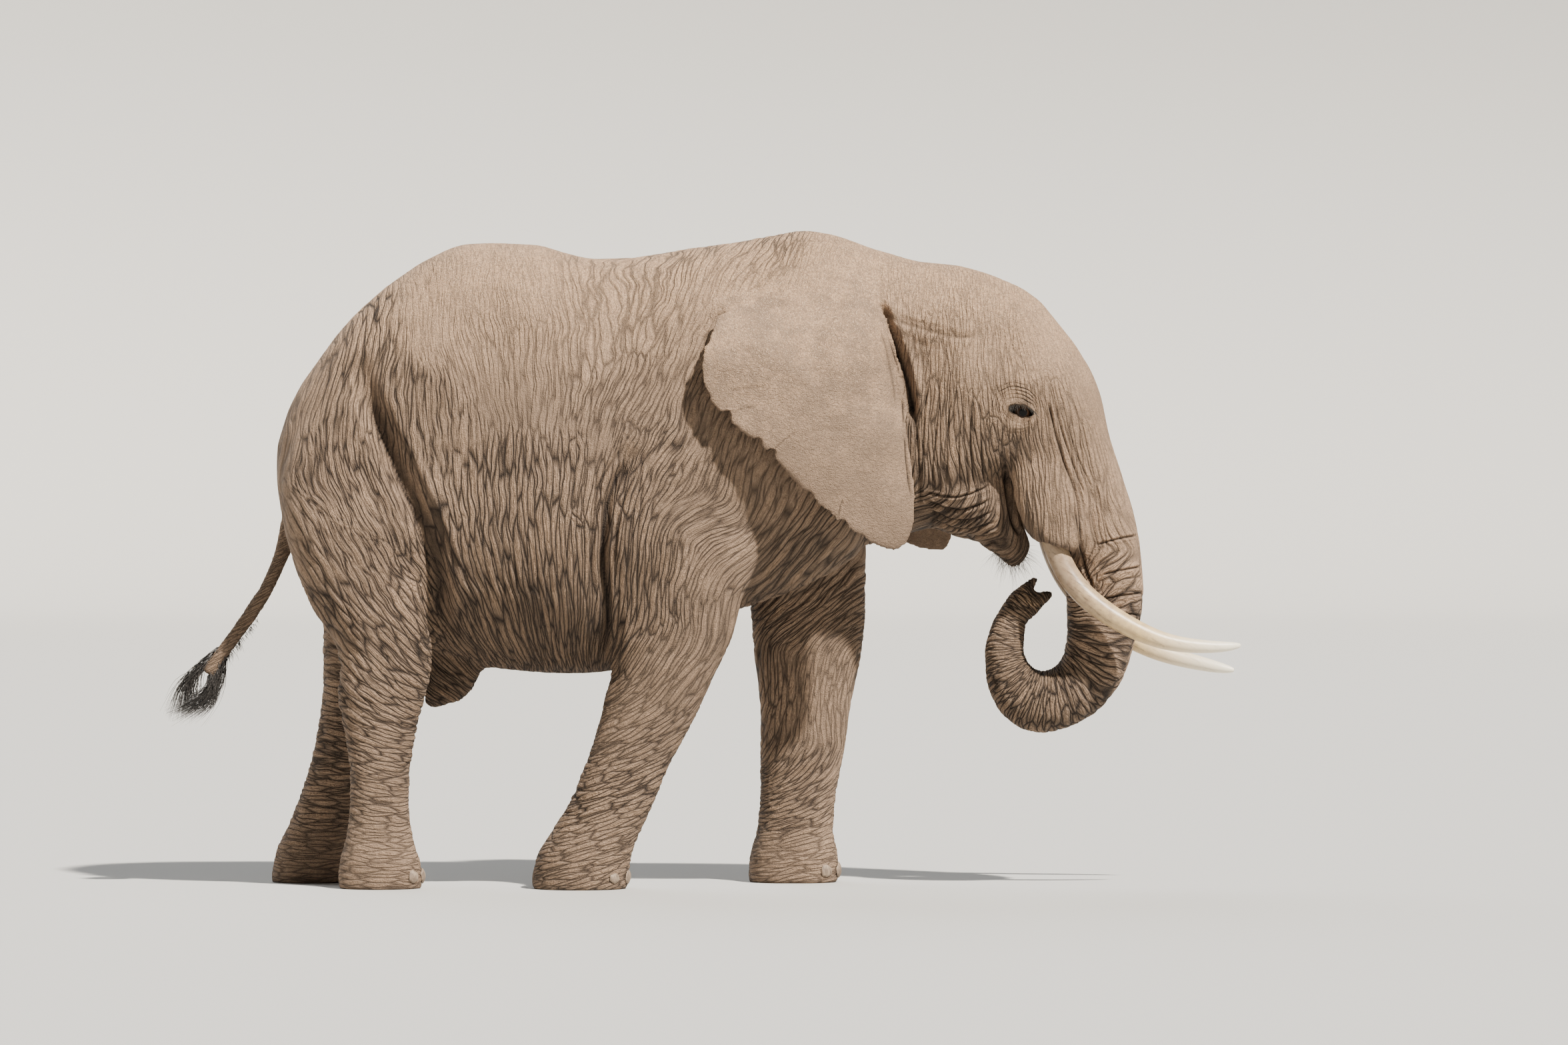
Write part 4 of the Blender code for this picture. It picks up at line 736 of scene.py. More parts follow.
def texture_values(thing, recipes):
    """Textures read at an object's vertices; a recipe is a name, an attribute, a cell size and a kind."""
    tree = bpy.data.node_groups.new("textures", "GeometryNodeTree")
    tree.interface.new_socket("Geometry", in_out="INPUT", socket_type="NodeSocketGeometry")
    tree.interface.new_socket("Geometry", in_out="OUTPUT", socket_type="NodeSocketGeometry")
    chain = tree.nodes.new("NodeGroupInput").outputs[0]
    for name, attribute, size, kind in recipes:
        source = tree.nodes.new("GeometryNodeInputNamedAttribute")
        source.data_type = "FLOAT_VECTOR"
        source.inputs["Name"].default_value = attribute
        texture = tree.nodes.new("ShaderNodeTexVoronoi" if kind == "cracks" else "ShaderNodeTexNoise")
        texture.inputs["Scale"].default_value = 1 / size
        if kind == "cracks":
            texture.feature = "DISTANCE_TO_EDGE"
        tree.links.new(source.outputs["Attribute"], texture.inputs["Vector"])
        store = tree.nodes.new("GeometryNodeStoreNamedAttribute")
        store.data_type = "FLOAT"
        store.domain = "POINT"
        store.inputs["Name"].default_value = name
        tree.links.new(chain, store.inputs["Geometry"])
        tree.links.new(texture.outputs[0], store.inputs["Value"])
        chain = store.outputs["Geometry"]
    end = tree.nodes.new("NodeGroupOutput")
    tree.links.new(chain, end.inputs[0])
    reader = thing.modifiers.new("textures", "NODES")
    reader.node_group = tree
    graph = bpy.context.evaluated_depsgraph_get()
    found = thing.evaluated_get(graph).data
    values = {}
    for name, *_ in recipes:
        values[name] = read(found.attributes[name].data, "value", 1)[:, 0].astype(float)
    thing.modifiers.remove(reader)
    bpy.data.node_groups.remove(tree)
    return values


# ---- folds and wrinkles ----------------------------------------------------------------------------
# Folds drawn in the side view, region by region: the flank that they are on (left, right, both, or ear for
# the right ear), then for each fold its points x, z, its half-width and its depth
FOLDS = {
    "elbow furrow": ("both", (
        (((-0.310, 2.029), (-0.380, 1.903), (-0.421, 1.761), (-0.436, 1.544),
          (-0.421, 1.323), (-0.427, 1.008)), 0.018, 0.028),
        (((-0.269, 1.978), (-0.335, 1.840), (-0.373, 1.695), (-0.389, 1.506)), 0.010, 0.009),
        (((-0.345, 2.079), (-0.449, 1.899), (-0.477, 1.726), (-0.490, 1.537),
          (-0.480, 1.317)), 0.011, 0.008),
    )),
    "front of the thigh": ("both", (
        (((-1.583, 2.419), (-1.488, 2.202), (-1.410, 2.010), (-1.325, 1.830),
          (-1.252, 1.663), (-1.214, 1.449), (-1.195, 1.238)), 0.046, 0.026),
        (((-1.548, 2.293), (-1.410, 1.978), (-1.284, 1.663), (-1.236, 1.411)), 0.012, 0.010),
        (((-1.473, 2.293), (-1.315, 1.978), (-1.183, 1.695), (-1.095, 1.443)), 0.013, 0.007),
    )),
    "ear hinge": ("right", (
        (((0.833, 2.759), (0.896, 2.633), (0.953, 2.482), (0.991, 2.318), (1.010, 2.167)), 0.024, 0.050),
        (((0.991, 2.325), (1.022, 2.167), (1.038, 1.978), (1.047, 1.773)), 0.008, 0.010),
    )),
    "lip of the ear": ("ear", (
        (((0.880, 2.610), (0.918, 2.514), (0.946, 2.416), (0.959, 2.309),
          (0.972, 2.161), (0.978, 2.016), (0.991, 1.900), (1.005, 1.800)), 0.007, 0.009),
        (((0.850, 2.640), (0.888, 2.500), (0.915, 2.380), (0.925, 2.260)), 0.010, 0.004),
    )),
    "creases of the ear": ("ear", (
        (((0.140, 2.330), (0.240, 2.345), (0.330, 2.352)), 0.007, 0.0025),
        (((0.130, 2.215), (0.215, 2.250), (0.290, 2.262)), 0.006, 0.0030),
        (((0.345, 2.045), (0.420, 2.115), (0.480, 2.150)), 0.005, 0.0025),
        (((0.655, 1.720), (0.665, 1.780), (0.680, 1.830)), 0.005, 0.0030),
        (((0.480, 2.120), (0.590, 2.155), (0.720, 2.140)), 0.012, 0.0025),
    )),
    "temple": ("both", (
        (((0.852, 2.750), (0.915, 2.677), (1.041, 2.633), (1.205, 2.592), (1.331, 2.596)), 0.017, 0.008),
        (((0.890, 2.759), (0.959, 2.684), (1.085, 2.646), (1.189, 2.627)), 0.009, 0.003),
        (((0.870, 2.660), (0.940, 2.600), (1.040, 2.555), (1.150, 2.530)), 0.014, 0.004),
    )),
    "cheek": ("both", (
        (((1.073, 2.356), (1.060, 2.167), (1.051, 1.868)), 0.005, 0.006),
        (((1.136, 2.325), (1.117, 2.136), (1.101, 1.978), (1.104, 1.859)), 0.005, 0.006),
        (((1.186, 2.293), (1.170, 2.136), (1.170, 1.868)), 0.005, 0.006),
        (((1.240, 2.224), (1.224, 2.104), (1.233, 1.852)), 0.005, 0.006),
        (((1.280, 2.236), (1.277, 2.104), (1.299, 1.868)), 0.006, 0.007),
        (((1.331, 2.136), (1.331, 2.010), (1.356, 1.868)), 0.005, 0.005),
    )),
    "jaw": ("both", (
        (((1.047, 1.859), (1.183, 1.836), (1.268, 1.846), (1.394, 1.896)), 0.006, 0.009),
        (((1.054, 1.827), (1.173, 1.777), (1.274, 1.780), (1.394, 1.830)), 0.008, 0.013),
        (((1.063, 1.783), (1.189, 1.729), (1.299, 1.729), (1.400, 1.773)), 0.007, 0.011),
        (((1.073, 1.742), (1.205, 1.688), (1.315, 1.685), (1.410, 1.723)), 0.007, 0.010),
        (((1.110, 1.688), (1.236, 1.647), (1.347, 1.644), (1.419, 1.673)), 0.006, 0.009),
        (((1.205, 1.625), (1.315, 1.607), (1.425, 1.625)), 0.006, 0.008),
    )),
    "mouth": ("both", (
        (((1.435, 2.016), (1.451, 1.915), (1.466, 1.814), (1.488, 1.710), (1.526, 1.644)), 0.012, 0.020),
    )),
    "front of the cheek": ("both", (
        (((1.633, 2.312), (1.655, 2.230), (1.677, 2.136), (1.715, 2.010),
          (1.775, 1.859), (1.797, 1.695), (1.810, 1.569)), 0.006, 0.010),
        (((1.668, 2.293), (1.709, 2.142), (1.766, 1.978), (1.829, 1.827)), 0.005, 0.007),
        (((1.725, 2.214), (1.778, 2.041), (1.866, 1.852)), 0.004, 0.005),
        (((1.769, 1.789), (1.791, 1.663), (1.816, 1.512), (1.866, 1.395)), 0.008, 0.012),
        (((1.866, 1.915), (1.904, 1.726), (1.929, 1.569)), 0.004, 0.006),
    )),
    "front of the trunk": ("both", (
        (((1.866, 1.607), (1.977, 1.638), (2.093, 1.657)), 0.006, 0.010),
        (((1.898, 1.468), (1.992, 1.490), (2.106, 1.509)), 0.006, 0.010),
        (((1.882, 1.351), (1.992, 1.370), (2.112, 1.383)), 0.006, 0.010),
        (((1.929, 1.304), (2.024, 1.285), (2.106, 1.273)), 0.005, 0.008),
        (((1.955, 1.222), (2.055, 1.197), (2.093, 1.191)), 0.005, 0.006),
    )),
}


def fold_profile(distance, width):
    """A crease between two soft swellings: -1 at its bottom, 0 far away."""
    swelling = 0.34 * np.exp(-((distance - 1.9 * width) / (0.9 * width)) ** 2)
    return swelling - np.exp(-(distance / width) ** 2)


def line_distance(x, z, path):
    nearest = np.full(len(x), 1e9)
    progress = np.zeros(len(x))
    total = len(path) - 1
    for k, ((xa, za), (xb, zb)) in enumerate(zip(path[:-1], path[1:])):
        dx, dz = xb - xa, zb - za
        t = np.clip(((x - xa) * dx + (z - za) * dz) / (dx * dx + dz * dz), 0, 1)
        away = np.hypot(x - xa - t * dx, z - za - t * dz)
        nearer = away < nearest
        nearest[nearer] = away[nearer]
        progress[nearer] = (k + t[nearer]) / total
    return nearest, progress


def drawn_folds(places):
    """Height of the folds in the table, and the painted shade in their creases."""
    height = np.zeros(len(places.x))
    dark = np.zeros(len(places.x))
    ear = places.of("ear", rounds=8)
    rows = [(flank, *row) for flank, region in FOLDS.values() for row in region]
    for flank, path, width, depth in rows:
        path = smooth_line(path, 4)
        margin = 5 * width
        xs, zs = zip(*path)
        near = ((places.x > min(xs) - margin) & (places.x < max(xs) + margin)
                & (places.z > min(zs) - margin) & (places.z < max(zs) + margin) & (places.out > 0.1))
        if flank != "both":
            near &= places.right == (flank != "left")
        near &= (ear > 0.5) == (flank == "ear")
        away, progress = line_distance(places.x[near], places.z[near], path)
        fade = ramp(progress, 0, 0.15) * ramp(progress, 1, 0.85) * ramp(places.out[near], 0.1, 0.5)
        fade *= ramp(np.abs(ear[near] - 0.5), 0.02, 0.35)
        height[near] += depth * fade * fold_profile(away, width)
        steep = min(1.0, depth / width / 0.8)
        # Painted shade along each crease's bottom, stronger for steeper folds.
        dark[near] = np.maximum(dark[near], steep * fade * np.exp(-(away / (0.6 * width)) ** 2))
    return height, dark


def eye_spots(places):
    """For each eye: the skin's vertices round it, and how far they lie ahead of it and above it, tilted."""
    for side, _ in SIDES:
        spot = eye_spot(side)
        near = (np.abs(places.x - spot.x) < 0.30) & (np.abs(places.z - spot.z) < 0.30)
        near &= places.right == (side == "right")
        near &= places.of("ear") < 0.5
        ahead = places.x[near] - spot.x
        above = places.z[near] - spot.z
        yield (np.nonzero(near)[0], ahead * math.cos(EYE_TILT) - above * math.sin(EYE_TILT),
               ahead * math.sin(EYE_TILT) + above * math.cos(EYE_TILT))


def lid_number(u, v):
    """Which of the nested lid folds a point lies on: 0 at the opening's rim, 1 at the outermost."""
    low = np.full(len(u), -0.45)
    high = np.full(len(u), 3.0)
    for _ in range(18):
        k = (low + high) / 2
        ahead = (u + LID_BACK * k) / (OPENING[0] + LID_SPREAD[0] * k)
        above = v / (OPENING[1] + LID_SPREAD[1] * k)
        inside = ahead ** 2 + above ** 2 < 1
        high = np.where(inside, k, high)
        low = np.where(inside, low, k)
    return (low + high) / 2


def eye_relief(places):
    """Lift of the skin round the eyes, how dark it is with dark skin and painted shade, and the share of it
    that other wrinkles leave.
    """
    lift = np.zeros(len(places.x))
    dark = np.zeros(len(places.x))
    calm = np.ones(len(places.x))
    for near, u, v in eye_spots(places):
        lid = lid_number(u, v)
        lid += (places.uneven[near] - 0.5) * 0.26 * ramp(lid, 0.05, 0.3)
        turn = np.arctan2(v, -u)
        upper = ramp(turn, -0.75, 0.15) * ramp(turn, 3.5, 2.7)
        lower = ramp(-v, 0.0, 0.03) * ramp(np.abs(u), 0.11, 0.05)
        within = ramp(lid, 0.02, -0.10)
        dome = DOME_HEIGHT * np.exp(-(u / 0.085) ** 2 - (v / 0.062) ** 2)
        rim = RIM_HEIGHT * np.exp(-((lid - 0.13) / 0.10) ** 2)
        folds = np.abs(((lid * 5.2 + 0.25) % 1.0) - 0.5) * 2
        fold_share = ramp(lid, 0.10, 0.22) * ramp(lid, 1.30, 0.95)
        crease = np.exp(-((1 - folds) / 0.22) ** 2) * fold_share * (upper + 0.35 * lower)
        crease *= 0.55 + 0.9 * ramp(places.uneven[near], 0.40, 0.62)
        lift[near] = dome + rim * (1 - within) - within * SOCKET_DEPTH - CREASE_DEPTH * crease
        lift[near] += POUCH_HEIGHT * np.exp(-((lid - 0.62) / 0.22) ** 2) * lower
        # Darker where the skin sinks within the opening and at the lids' edge, partly dark skin and partly
        # painted shade; painted shade in the creases between the lid folds.
        dark[near] = np.maximum(within, 0.85 * crease)
        dark[near] = np.maximum(dark[near], 0.85 * np.exp(-(np.maximum(lid, 0) / 0.12) ** 2))
        calm[near] = ramp(lid, 0.05, 1.15)
    return lift, dark, calm


def nicked(places):
    """How far the nicks push the right ear's edge inwards."""
    push = np.zeros((len(places.x), 3))
    ear = places.right & (places.of("ear") > 0.5)
    for (x, z), way, reach, depth in EAR_NICKS:
        away = np.hypot(places.x - x, places.z - z)
        pull = depth * np.clip(1 - (away / reach) ** 2, 0, 1) ** 2 * ear / math.hypot(*way)
        push[:, 0] += pull * way[0]
        push[:, 2] += pull * way[1]
    return push


def pillow(distance, width):
    """Rounded cells with narrow creases between them, from a distance to the cell's edge."""
    return 1 - (1 - np.clip(distance / width, 0, 1)) ** 2


def wrinkled(skin, places):
    """Raise the skin's wrinkles, folds and lids, and leave on it what its look goes by."""
    first, second, share, coarse, main, dense, swaying = flow_maps(places)
    set_attribute(skin.data, "flow_a", first)
    set_attribute(skin.data, "flow_b", second)
    set_attribute(skin.data, "place", places.points)
    fields = texture_values(skin, (
        ("warp", "place", 0.30, "noise"), ("patches", "place", 0.55, "noise"),
        ("warp_small", "place", 0.075, "noise"),
    ))
    sway = (fields["warp"] - 0.5) * FOLD_SWAY + (fields["warp_small"] - 0.5) * SMALL_SWAY
    sway = sway[:, None] * swaying
    for name, flow in (("flow_a", first), ("flow_b", second)):
        skin.data.attributes[name].data.foreach_set("vector", (flow + sway).astype(np.float32).ravel())
    set_attribute(skin.data, "flow_c", (first + sway) * DENSER)
    set_attribute(skin.data, "dense", dense)
    recipes = [(f"{scale}_{channel}", f"flow_{channel}", size, "cracks")
               for channel in "ab" for scale, size in (("coarse", COARSE_CELL), ("main", MAIN_CELL),
                                                       ("fine", FINE_CELL))]
    recipes += [("main_c", "flow_c", MAIN_CELL, "cracks"), ("fine_c", "flow_c", FINE_CELL, "cracks")]
    fields.update(texture_values(skin, recipes))

    def mixed(scale, width):
        first_map = pillow(fields[f"{scale}_a"], width)
        if scale != "coarse":
            first_map = first_map * (1 - dense) + pillow(fields[f"{scale}_c"], width) * dense
        return first_map * (1 - share) + pillow(fields[f"{scale}_b"], width) * share - CELL_MEAN

    patchy = 0.5 + ramp(fields["patches"], 0.35, 0.65)
    places.uneven = fields["warp_small"]
    relief, eye_dark, calm = eye_relief(places)
    coarse *= calm
    main *= 0.25 + 0.75 * calm
    height = COARSE_HEIGHT * coarse * patchy * mixed("coarse", 0.24)
    height += MAIN_HEIGHT * main * mixed("main", 0.30)
    on_head = ramp(places.x, 1.05, 1.15) * (1 - places.of("ear"))
    height += FINE_HEIGHT * on_head * mixed("fine", 0.33)
    drawn, dark = drawn_folds(places)
    height += drawn * calm + relief
    ear = places.of("ear", rounds=8) * ramp(places.z, 2.78, 2.60)
    rim = ear * ramp(np.abs(places.normals[:, 1]), 0.80, 0.35) * ramp(places.x, 0.86, 0.76)
    height += ear * (fields["warp"] - 0.5) * EAR_WAVE + rim * (fields["warp_small"] - 0.5) * RIM_WAVE
    height *= ramp(places.z, 0.004, 0.05)
    move_vertices(skin.data, places.points + nicked(places) + places.normals * height[:, None])
    # Painted shade in the creases between the coarse cells.
    crease = (1 - share) * np.exp(-fields["coarse_a"] / 0.03) + share * np.exp(-fields["coarse_b"] / 0.03)
    set_attribute(skin.data, "share", share)
    set_attribute(skin.data, "rough", main)
    crease = 0.30 * crease * np.clip(coarse * patchy, 0, 1)
    # Painted shade of folds, lids and coarse creases, with the dark skin round the eyes.
    dark = np.maximum.reduce((dark * calm, eye_dark, crease))
    set_attribute(skin.data, "dark", np.clip(dark, 0, 1))
    skin.data.attributes.remove(skin.data.attributes["place"])


# ---- materials -------------------------------------------------------------------------------------
class Look:
    """A node material in the making."""

    def __init__(self, name, roughness, specular=0.5):
        self.material = bpy.data.materials.new(name)
        self.material.use_nodes = True
        self.nodes = self.material.node_tree.nodes
        self.links = self.material.node_tree.links
        self.shader = self.nodes["Principled BSDF"]
        self.shader.inputs["Roughness"].default_value = roughness
        self.shader.inputs["Specular IOR Level"].default_value = specular

    def plug(self, value, socket):
        """Link a socket to an input, or give the input a fixed value."""
        if isinstance(value, bpy.types.NodeSocket):
            self.links.new(value, socket)
        else:
            socket.default_value = value

    def node(self, kind, inputs=None, **settings):
        made = self.nodes.new(kind)
        for name, value in settings.items():
            setattr(made, name, value)
        for name, value in (inputs or {}).items():
            self.plug(value, made.inputs[name])
        return made

    def place(self):
        return self.node("ShaderNodeTexCoord").outputs["Object"]

    def attribute(self, name, output="Fac"):
        return self.node("ShaderNodeAttribute", attribute_name=name).outputs[output]

    def math(self, operation, *values):
        made = self.node("ShaderNodeMath", operation=operation)
        for socket, value in zip(made.inputs, values):
            self.plug(value, socket)
        return made.outputs[0]

    def times(self, *values):
        return self.math("MULTIPLY", *values)

    def larger(self, *values):
        return self.math("MAXIMUM", *values)

    def mixed(self, share, low, high, kind="RGBA"):
        """A colour or number between two others."""
        made = self.node("ShaderNodeMix", data_type=kind)
        word = "Color" if kind == "RGBA" else "Float"
        inputs = {socket.identifier: socket for socket in made.inputs}
        for identifier, value in (("Factor_Float", share), (f"A_{word}", low), (f"B_{word}", high)):
            self.plug(value, inputs[identifier])
        return next(socket for socket in made.outputs if socket.identifier == f"Result_{word}")

    def band(self, value, low, high, start=0.0, end=1.0):
        """A number that goes from start to end while the value goes from low to high."""
        made = self.node("ShaderNodeMapRange", {"Value": value, "From Min": low, "From Max": high,
                                                "To Min": start, "To Max": end}, clamp=True)
        return made.outputs["Result"]

    def noise(self, place, size, detail=3.0, roughness=0.55):
        return self.node("ShaderNodeTexNoise", {"Vector": place, "Scale": 1 / size, "Detail": detail,
                                                "Roughness": roughness}).outputs[0]

    def cracks(self, place, size):
        return self.node("ShaderNodeTexVoronoi", {"Vector": place, "Scale": 1 / size},
                         feature="DISTANCE_TO_EDGE").outputs["Distance"]

    def finish(self, colour, height=None, strength=1.0):
        self.links.new(colour, self.shader.inputs["Base Color"])
        if height is not None:
            bump = self.node("ShaderNodeBump", {"Height": height, "Distance": 1.0, "Strength": strength})
            self.links.new(bump.outputs[0], self.shader.inputs["Normal"])
        return self.material


HIDE_LIGHT = (0.345, 0.235, 0.158, 1)
HIDE_MAIN = (0.190, 0.130, 0.088, 1)
# Colour of dust, and of the painted highlight on the cells' ridges.
HIDE_DUST_AND_HIGHLIGHT = (0.510, 0.325, 0.192, 1)
HIDE_FLECK = (0.740, 0.540, 0.370, 1)
# Painted shade: HIDE_SHADE underneath and in the valleys, HIDE_DARK in cracks and creases.
HIDE_SHADE = (0.085, 0.060, 0.044, 1)
HIDE_DARK = (0.012, 0.008, 0.006, 1)
RIDGE_HEIGHTS = (0.0085, 0.0036, 0.0060, 0.0018)  # bumps: main cells, fine cells, grain and pebbles
IVORY_ROOT = (0.330, 0.235, 0.150, 1)
IVORY_MIDDLE = (0.620, 0.440, 0.215, 1)
IVORY_TIP = (0.840, 0.770, 0.610, 1)
IVORY_STAIN = (0.230, 0.150, 0.092, 1)
IVORY_DIRT = (0.080, 0.050, 0.032, 1)
PUPIL = (0.002, 0.002, 0.002, 1)
IRIS_DARK = (0.008, 0.004, 0.002, 1)
IRIS_LIGHT = (0.026, 0.012, 0.005, 1)
EYE_WHITE = (0.012, 0.007, 0.005, 1)
NAIL_MAIN = (0.150, 0.105, 0.072, 1)
NAIL_LIGHT = (0.290, 0.215, 0.150, 1)
NAIL_GROOVE = (0.055, 0.040, 0.028, 1)
TAIL_HAIR = ((0.010, 0.009, 0.008, 1), (0.060, 0.052, 0.046, 1))
BRISTLE = ((0.012, 0.010, 0.008, 1), (0.075, 0.060, 0.045, 1))


def hide_look():
    look = Look("hide", 0.86, 0.25)
    place = look.place()
    share, rough, dark, dust_and_painted_light, ear, shaded, dense = [
        look.attribute(name) for name in ("share", "rough", "dark", "dust_and_painted_light", "ear", "shade", "dense")]
    flows = [look.attribute(name, "Vector") for name in ("flow_a", "flow_b", "flow_c")]
    webs = []
    for cell in (MAIN_CELL, FINE_CELL):
        first = look.mixed(dense, look.cracks(flows[0], cell), look.cracks(flows[2], cell), "FLOAT")
        webs.append(look.mixed(share, first, look.cracks(flows[1], cell), "FLOAT"))
    middle, fine = webs
    grain = look.noise(place, 0.012, 4.0, 0.65)
    flecks = look.noise(place, 0.0055, 2.0, 0.5)
    pebbles = look.cracks(place, 0.0085)
    patches = look.noise(place, 0.35, 4.0, 0.6)
    blotches = look.noise(place, 0.12, 6.0, 0.75)
    tone = look.mixed(look.band(patches, 0.35, 0.65), HIDE_MAIN, HIDE_LIGHT)
    # Dust, with painted light on the upper and upward-facing parts.
    tone = look.mixed(dust_and_painted_light, tone, HIDE_DUST_AND_HIGHLIGHT)
    # Painted shade underneath, between the legs, under the jaw and in the trunk's fork.
    tone = look.mixed(shaded, tone, HIDE_SHADE)
    spotted = look.times(look.band(blotches, 0.44, 0.58), look.band(ear, 0.0, 1.0, 0.30, 0.75))
    tone = look.mixed(spotted, tone, HIDE_MAIN)
    clouded = look.times(look.band(look.noise(place, 0.22, 3.0, 0.6), 0.46, 0.60, 0.0, 0.45), ear)
    tone = look.mixed(clouded, tone, HIDE_MAIN)
    # Painted highlight on the ridges of the wrinkle cells.
    tone = look.mixed(look.times(look.band(middle, 0.12, 0.40, 0.0, 0.40), rough), tone, HIDE_DUST_AND_HIGHLIGHT)
    # Painted shade in the valleys between the wrinkle cells.
    tone = look.mixed(look.times(look.band(middle, 0.02, 0.12, 0.55, 0.0), rough), tone, HIDE_SHADE)
    tone = look.mixed(look.band(grain, 0.40, 0.60, 0.70, 0.0), tone, HIDE_MAIN)
    # Painted shade in the cracks between the main and fine cells, joined with the dark attribute: painted
    # shade of folds, lids and coarse creases, and the eyes' dark skin.
    crack = look.times(look.band(middle, 0.0, 0.13, 1.0, 0.0), rough)
    thin = look.times(look.band(fine, 0.0, 0.11, 0.60, 0.0), look.larger(rough, 0.30))
    shade = look.larger(look.times(look.larger(crack, thin), 0.95), dark)
    tone = look.mixed(look.band(pebbles, 0.0, 0.10, 0.35, 0.0), tone, HIDE_MAIN)
    tone = look.mixed(look.times(look.band(flecks, 0.55, 0.68, 0.0, 0.60), dust_and_painted_light), tone, HIDE_FLECK)
    tone = look.mixed(shade, tone, HIDE_DARK)
    ridges = (look.times(look.band(middle, 0.0, 0.16), rough),
              look.times(look.band(fine, 0.0, 0.22), rough),
              grain, look.band(pebbles, 0.0, 0.3))
    height = 0.0
    for ridge, size in zip(ridges, RIDGE_HEIGHTS):
        height = look.math("ADD", height, look.times(ridge, size))
    return look.finish(tone, height)


# ---- stage -----------------------------------------------------------------------------------------
CAMERA_AWAY = 40.0
CAMERA_HEIGHT = 2.1
PHOTO_WIDTH = 7.4088      # how wide a piece of the mid-plane the photo shows
PHOTO_MIDDLE = (0.405, 1.7136)  # what lies in the middle of the photo: x, z
FLOOR_COLOUR = (0.50, 0.49, 0.465, 1)
SUN = (11.0, 2.5, (1.0, 0.95, 0.88), (0.50, -0.62, 0.95))  # energy, degrees across, colour, where it stands
FILL = (2.2, 50, (0.94, 0.97, 1.0), (-0.45, 0.80, 0.60))  # the same for the soft light from behind
SKY_COLOUR = (0.80, 0.86, 0.95, 1)
SKY_STRENGTH = 0.17


def add_camera():
    """The photo's camera, far off, aimed at what lies in the middle of the photo."""
    camera = bpy.data.objects.new("camera", bpy.data.cameras.new("camera"))
    camera.data.sensor_width = 36
    camera.data.lens = 36 * CAMERA_AWAY / PHOTO_WIDTH
    camera.data.clip_end = 500
    aim = Vector((PHOTO_MIDDLE[0], MID_PLANE, PHOTO_MIDDLE[1]))
    camera.location = (PHOTO_MIDDLE[0], MID_PLANE - CAMERA_AWAY, CAMERA_HEIGHT)
    camera.rotation_euler = (aim - camera.location).to_track_quat("-Z", "Y").to_euler()
    bpy.context.scene.collection.objects.link(camera)
    bpy.context.scene.camera = camera


def add_sun(name, energy, spread, colour, stand):
    """A sun that is so many degrees across and shines from where it stands."""
    sun = bpy.data.objects.new(name, bpy.data.lights.new(name, "SUN"))
    sun.data.energy = energy
    sun.data.angle = math.radians(spread)
    sun.data.color = colour
    sun.rotation_euler = Vector(stand).to_track_quat("Z", "Y").to_euler()
    bpy.context.scene.collection.objects.link(sun)


def add_light():
    add_sun("sun", *SUN)
    add_sun("fill", *FILL)
    world = bpy.data.worlds.new("studio")
    bpy.context.scene.world = world
    world.use_nodes = True
    background = world.node_tree.nodes["Background"]
    background.inputs["Color"].default_value = SKY_COLOUR
    background.inputs["Strength"].default_value = SKY_STRENGTH


def add_floor():
    """A pale round studio floor that turns up into a wall far from the animal on every side."""
    look = Look("floor", 0.9)
    look.shader.inputs["Base Color"].default_value = FLOOR_COLOUR
    reach, bend, height, sides = 62.0, 8.0, 24.0, 128
    rise = np.linspace(0.1, math.pi / 2, 16)
    profile = [(0.5, 0.0), (20.0, 0.0), (reach, 0.0)]
    profile += [(reach + bend * math.sin(a), bend - bend * math.cos(a)) for a in rise]
    profile.append((reach + bend, height))
    turns = [2 * math.pi * k / sides for k in range(sides)]
    points = [(away * math.cos(t), away * math.sin(t), up) for away, up in profile for t in turns]
    faces = []
    for low in range(0, (len(profile) - 1) * sides, sides):
        high = low + sides
        faces += [(low + k, high + k, high + (k + 1) % sides, low + (k + 1) % sides) for k in range(sides)]
    faces.append(range(sides))
    floor = smooth_object("floor", points, faces, look.material)


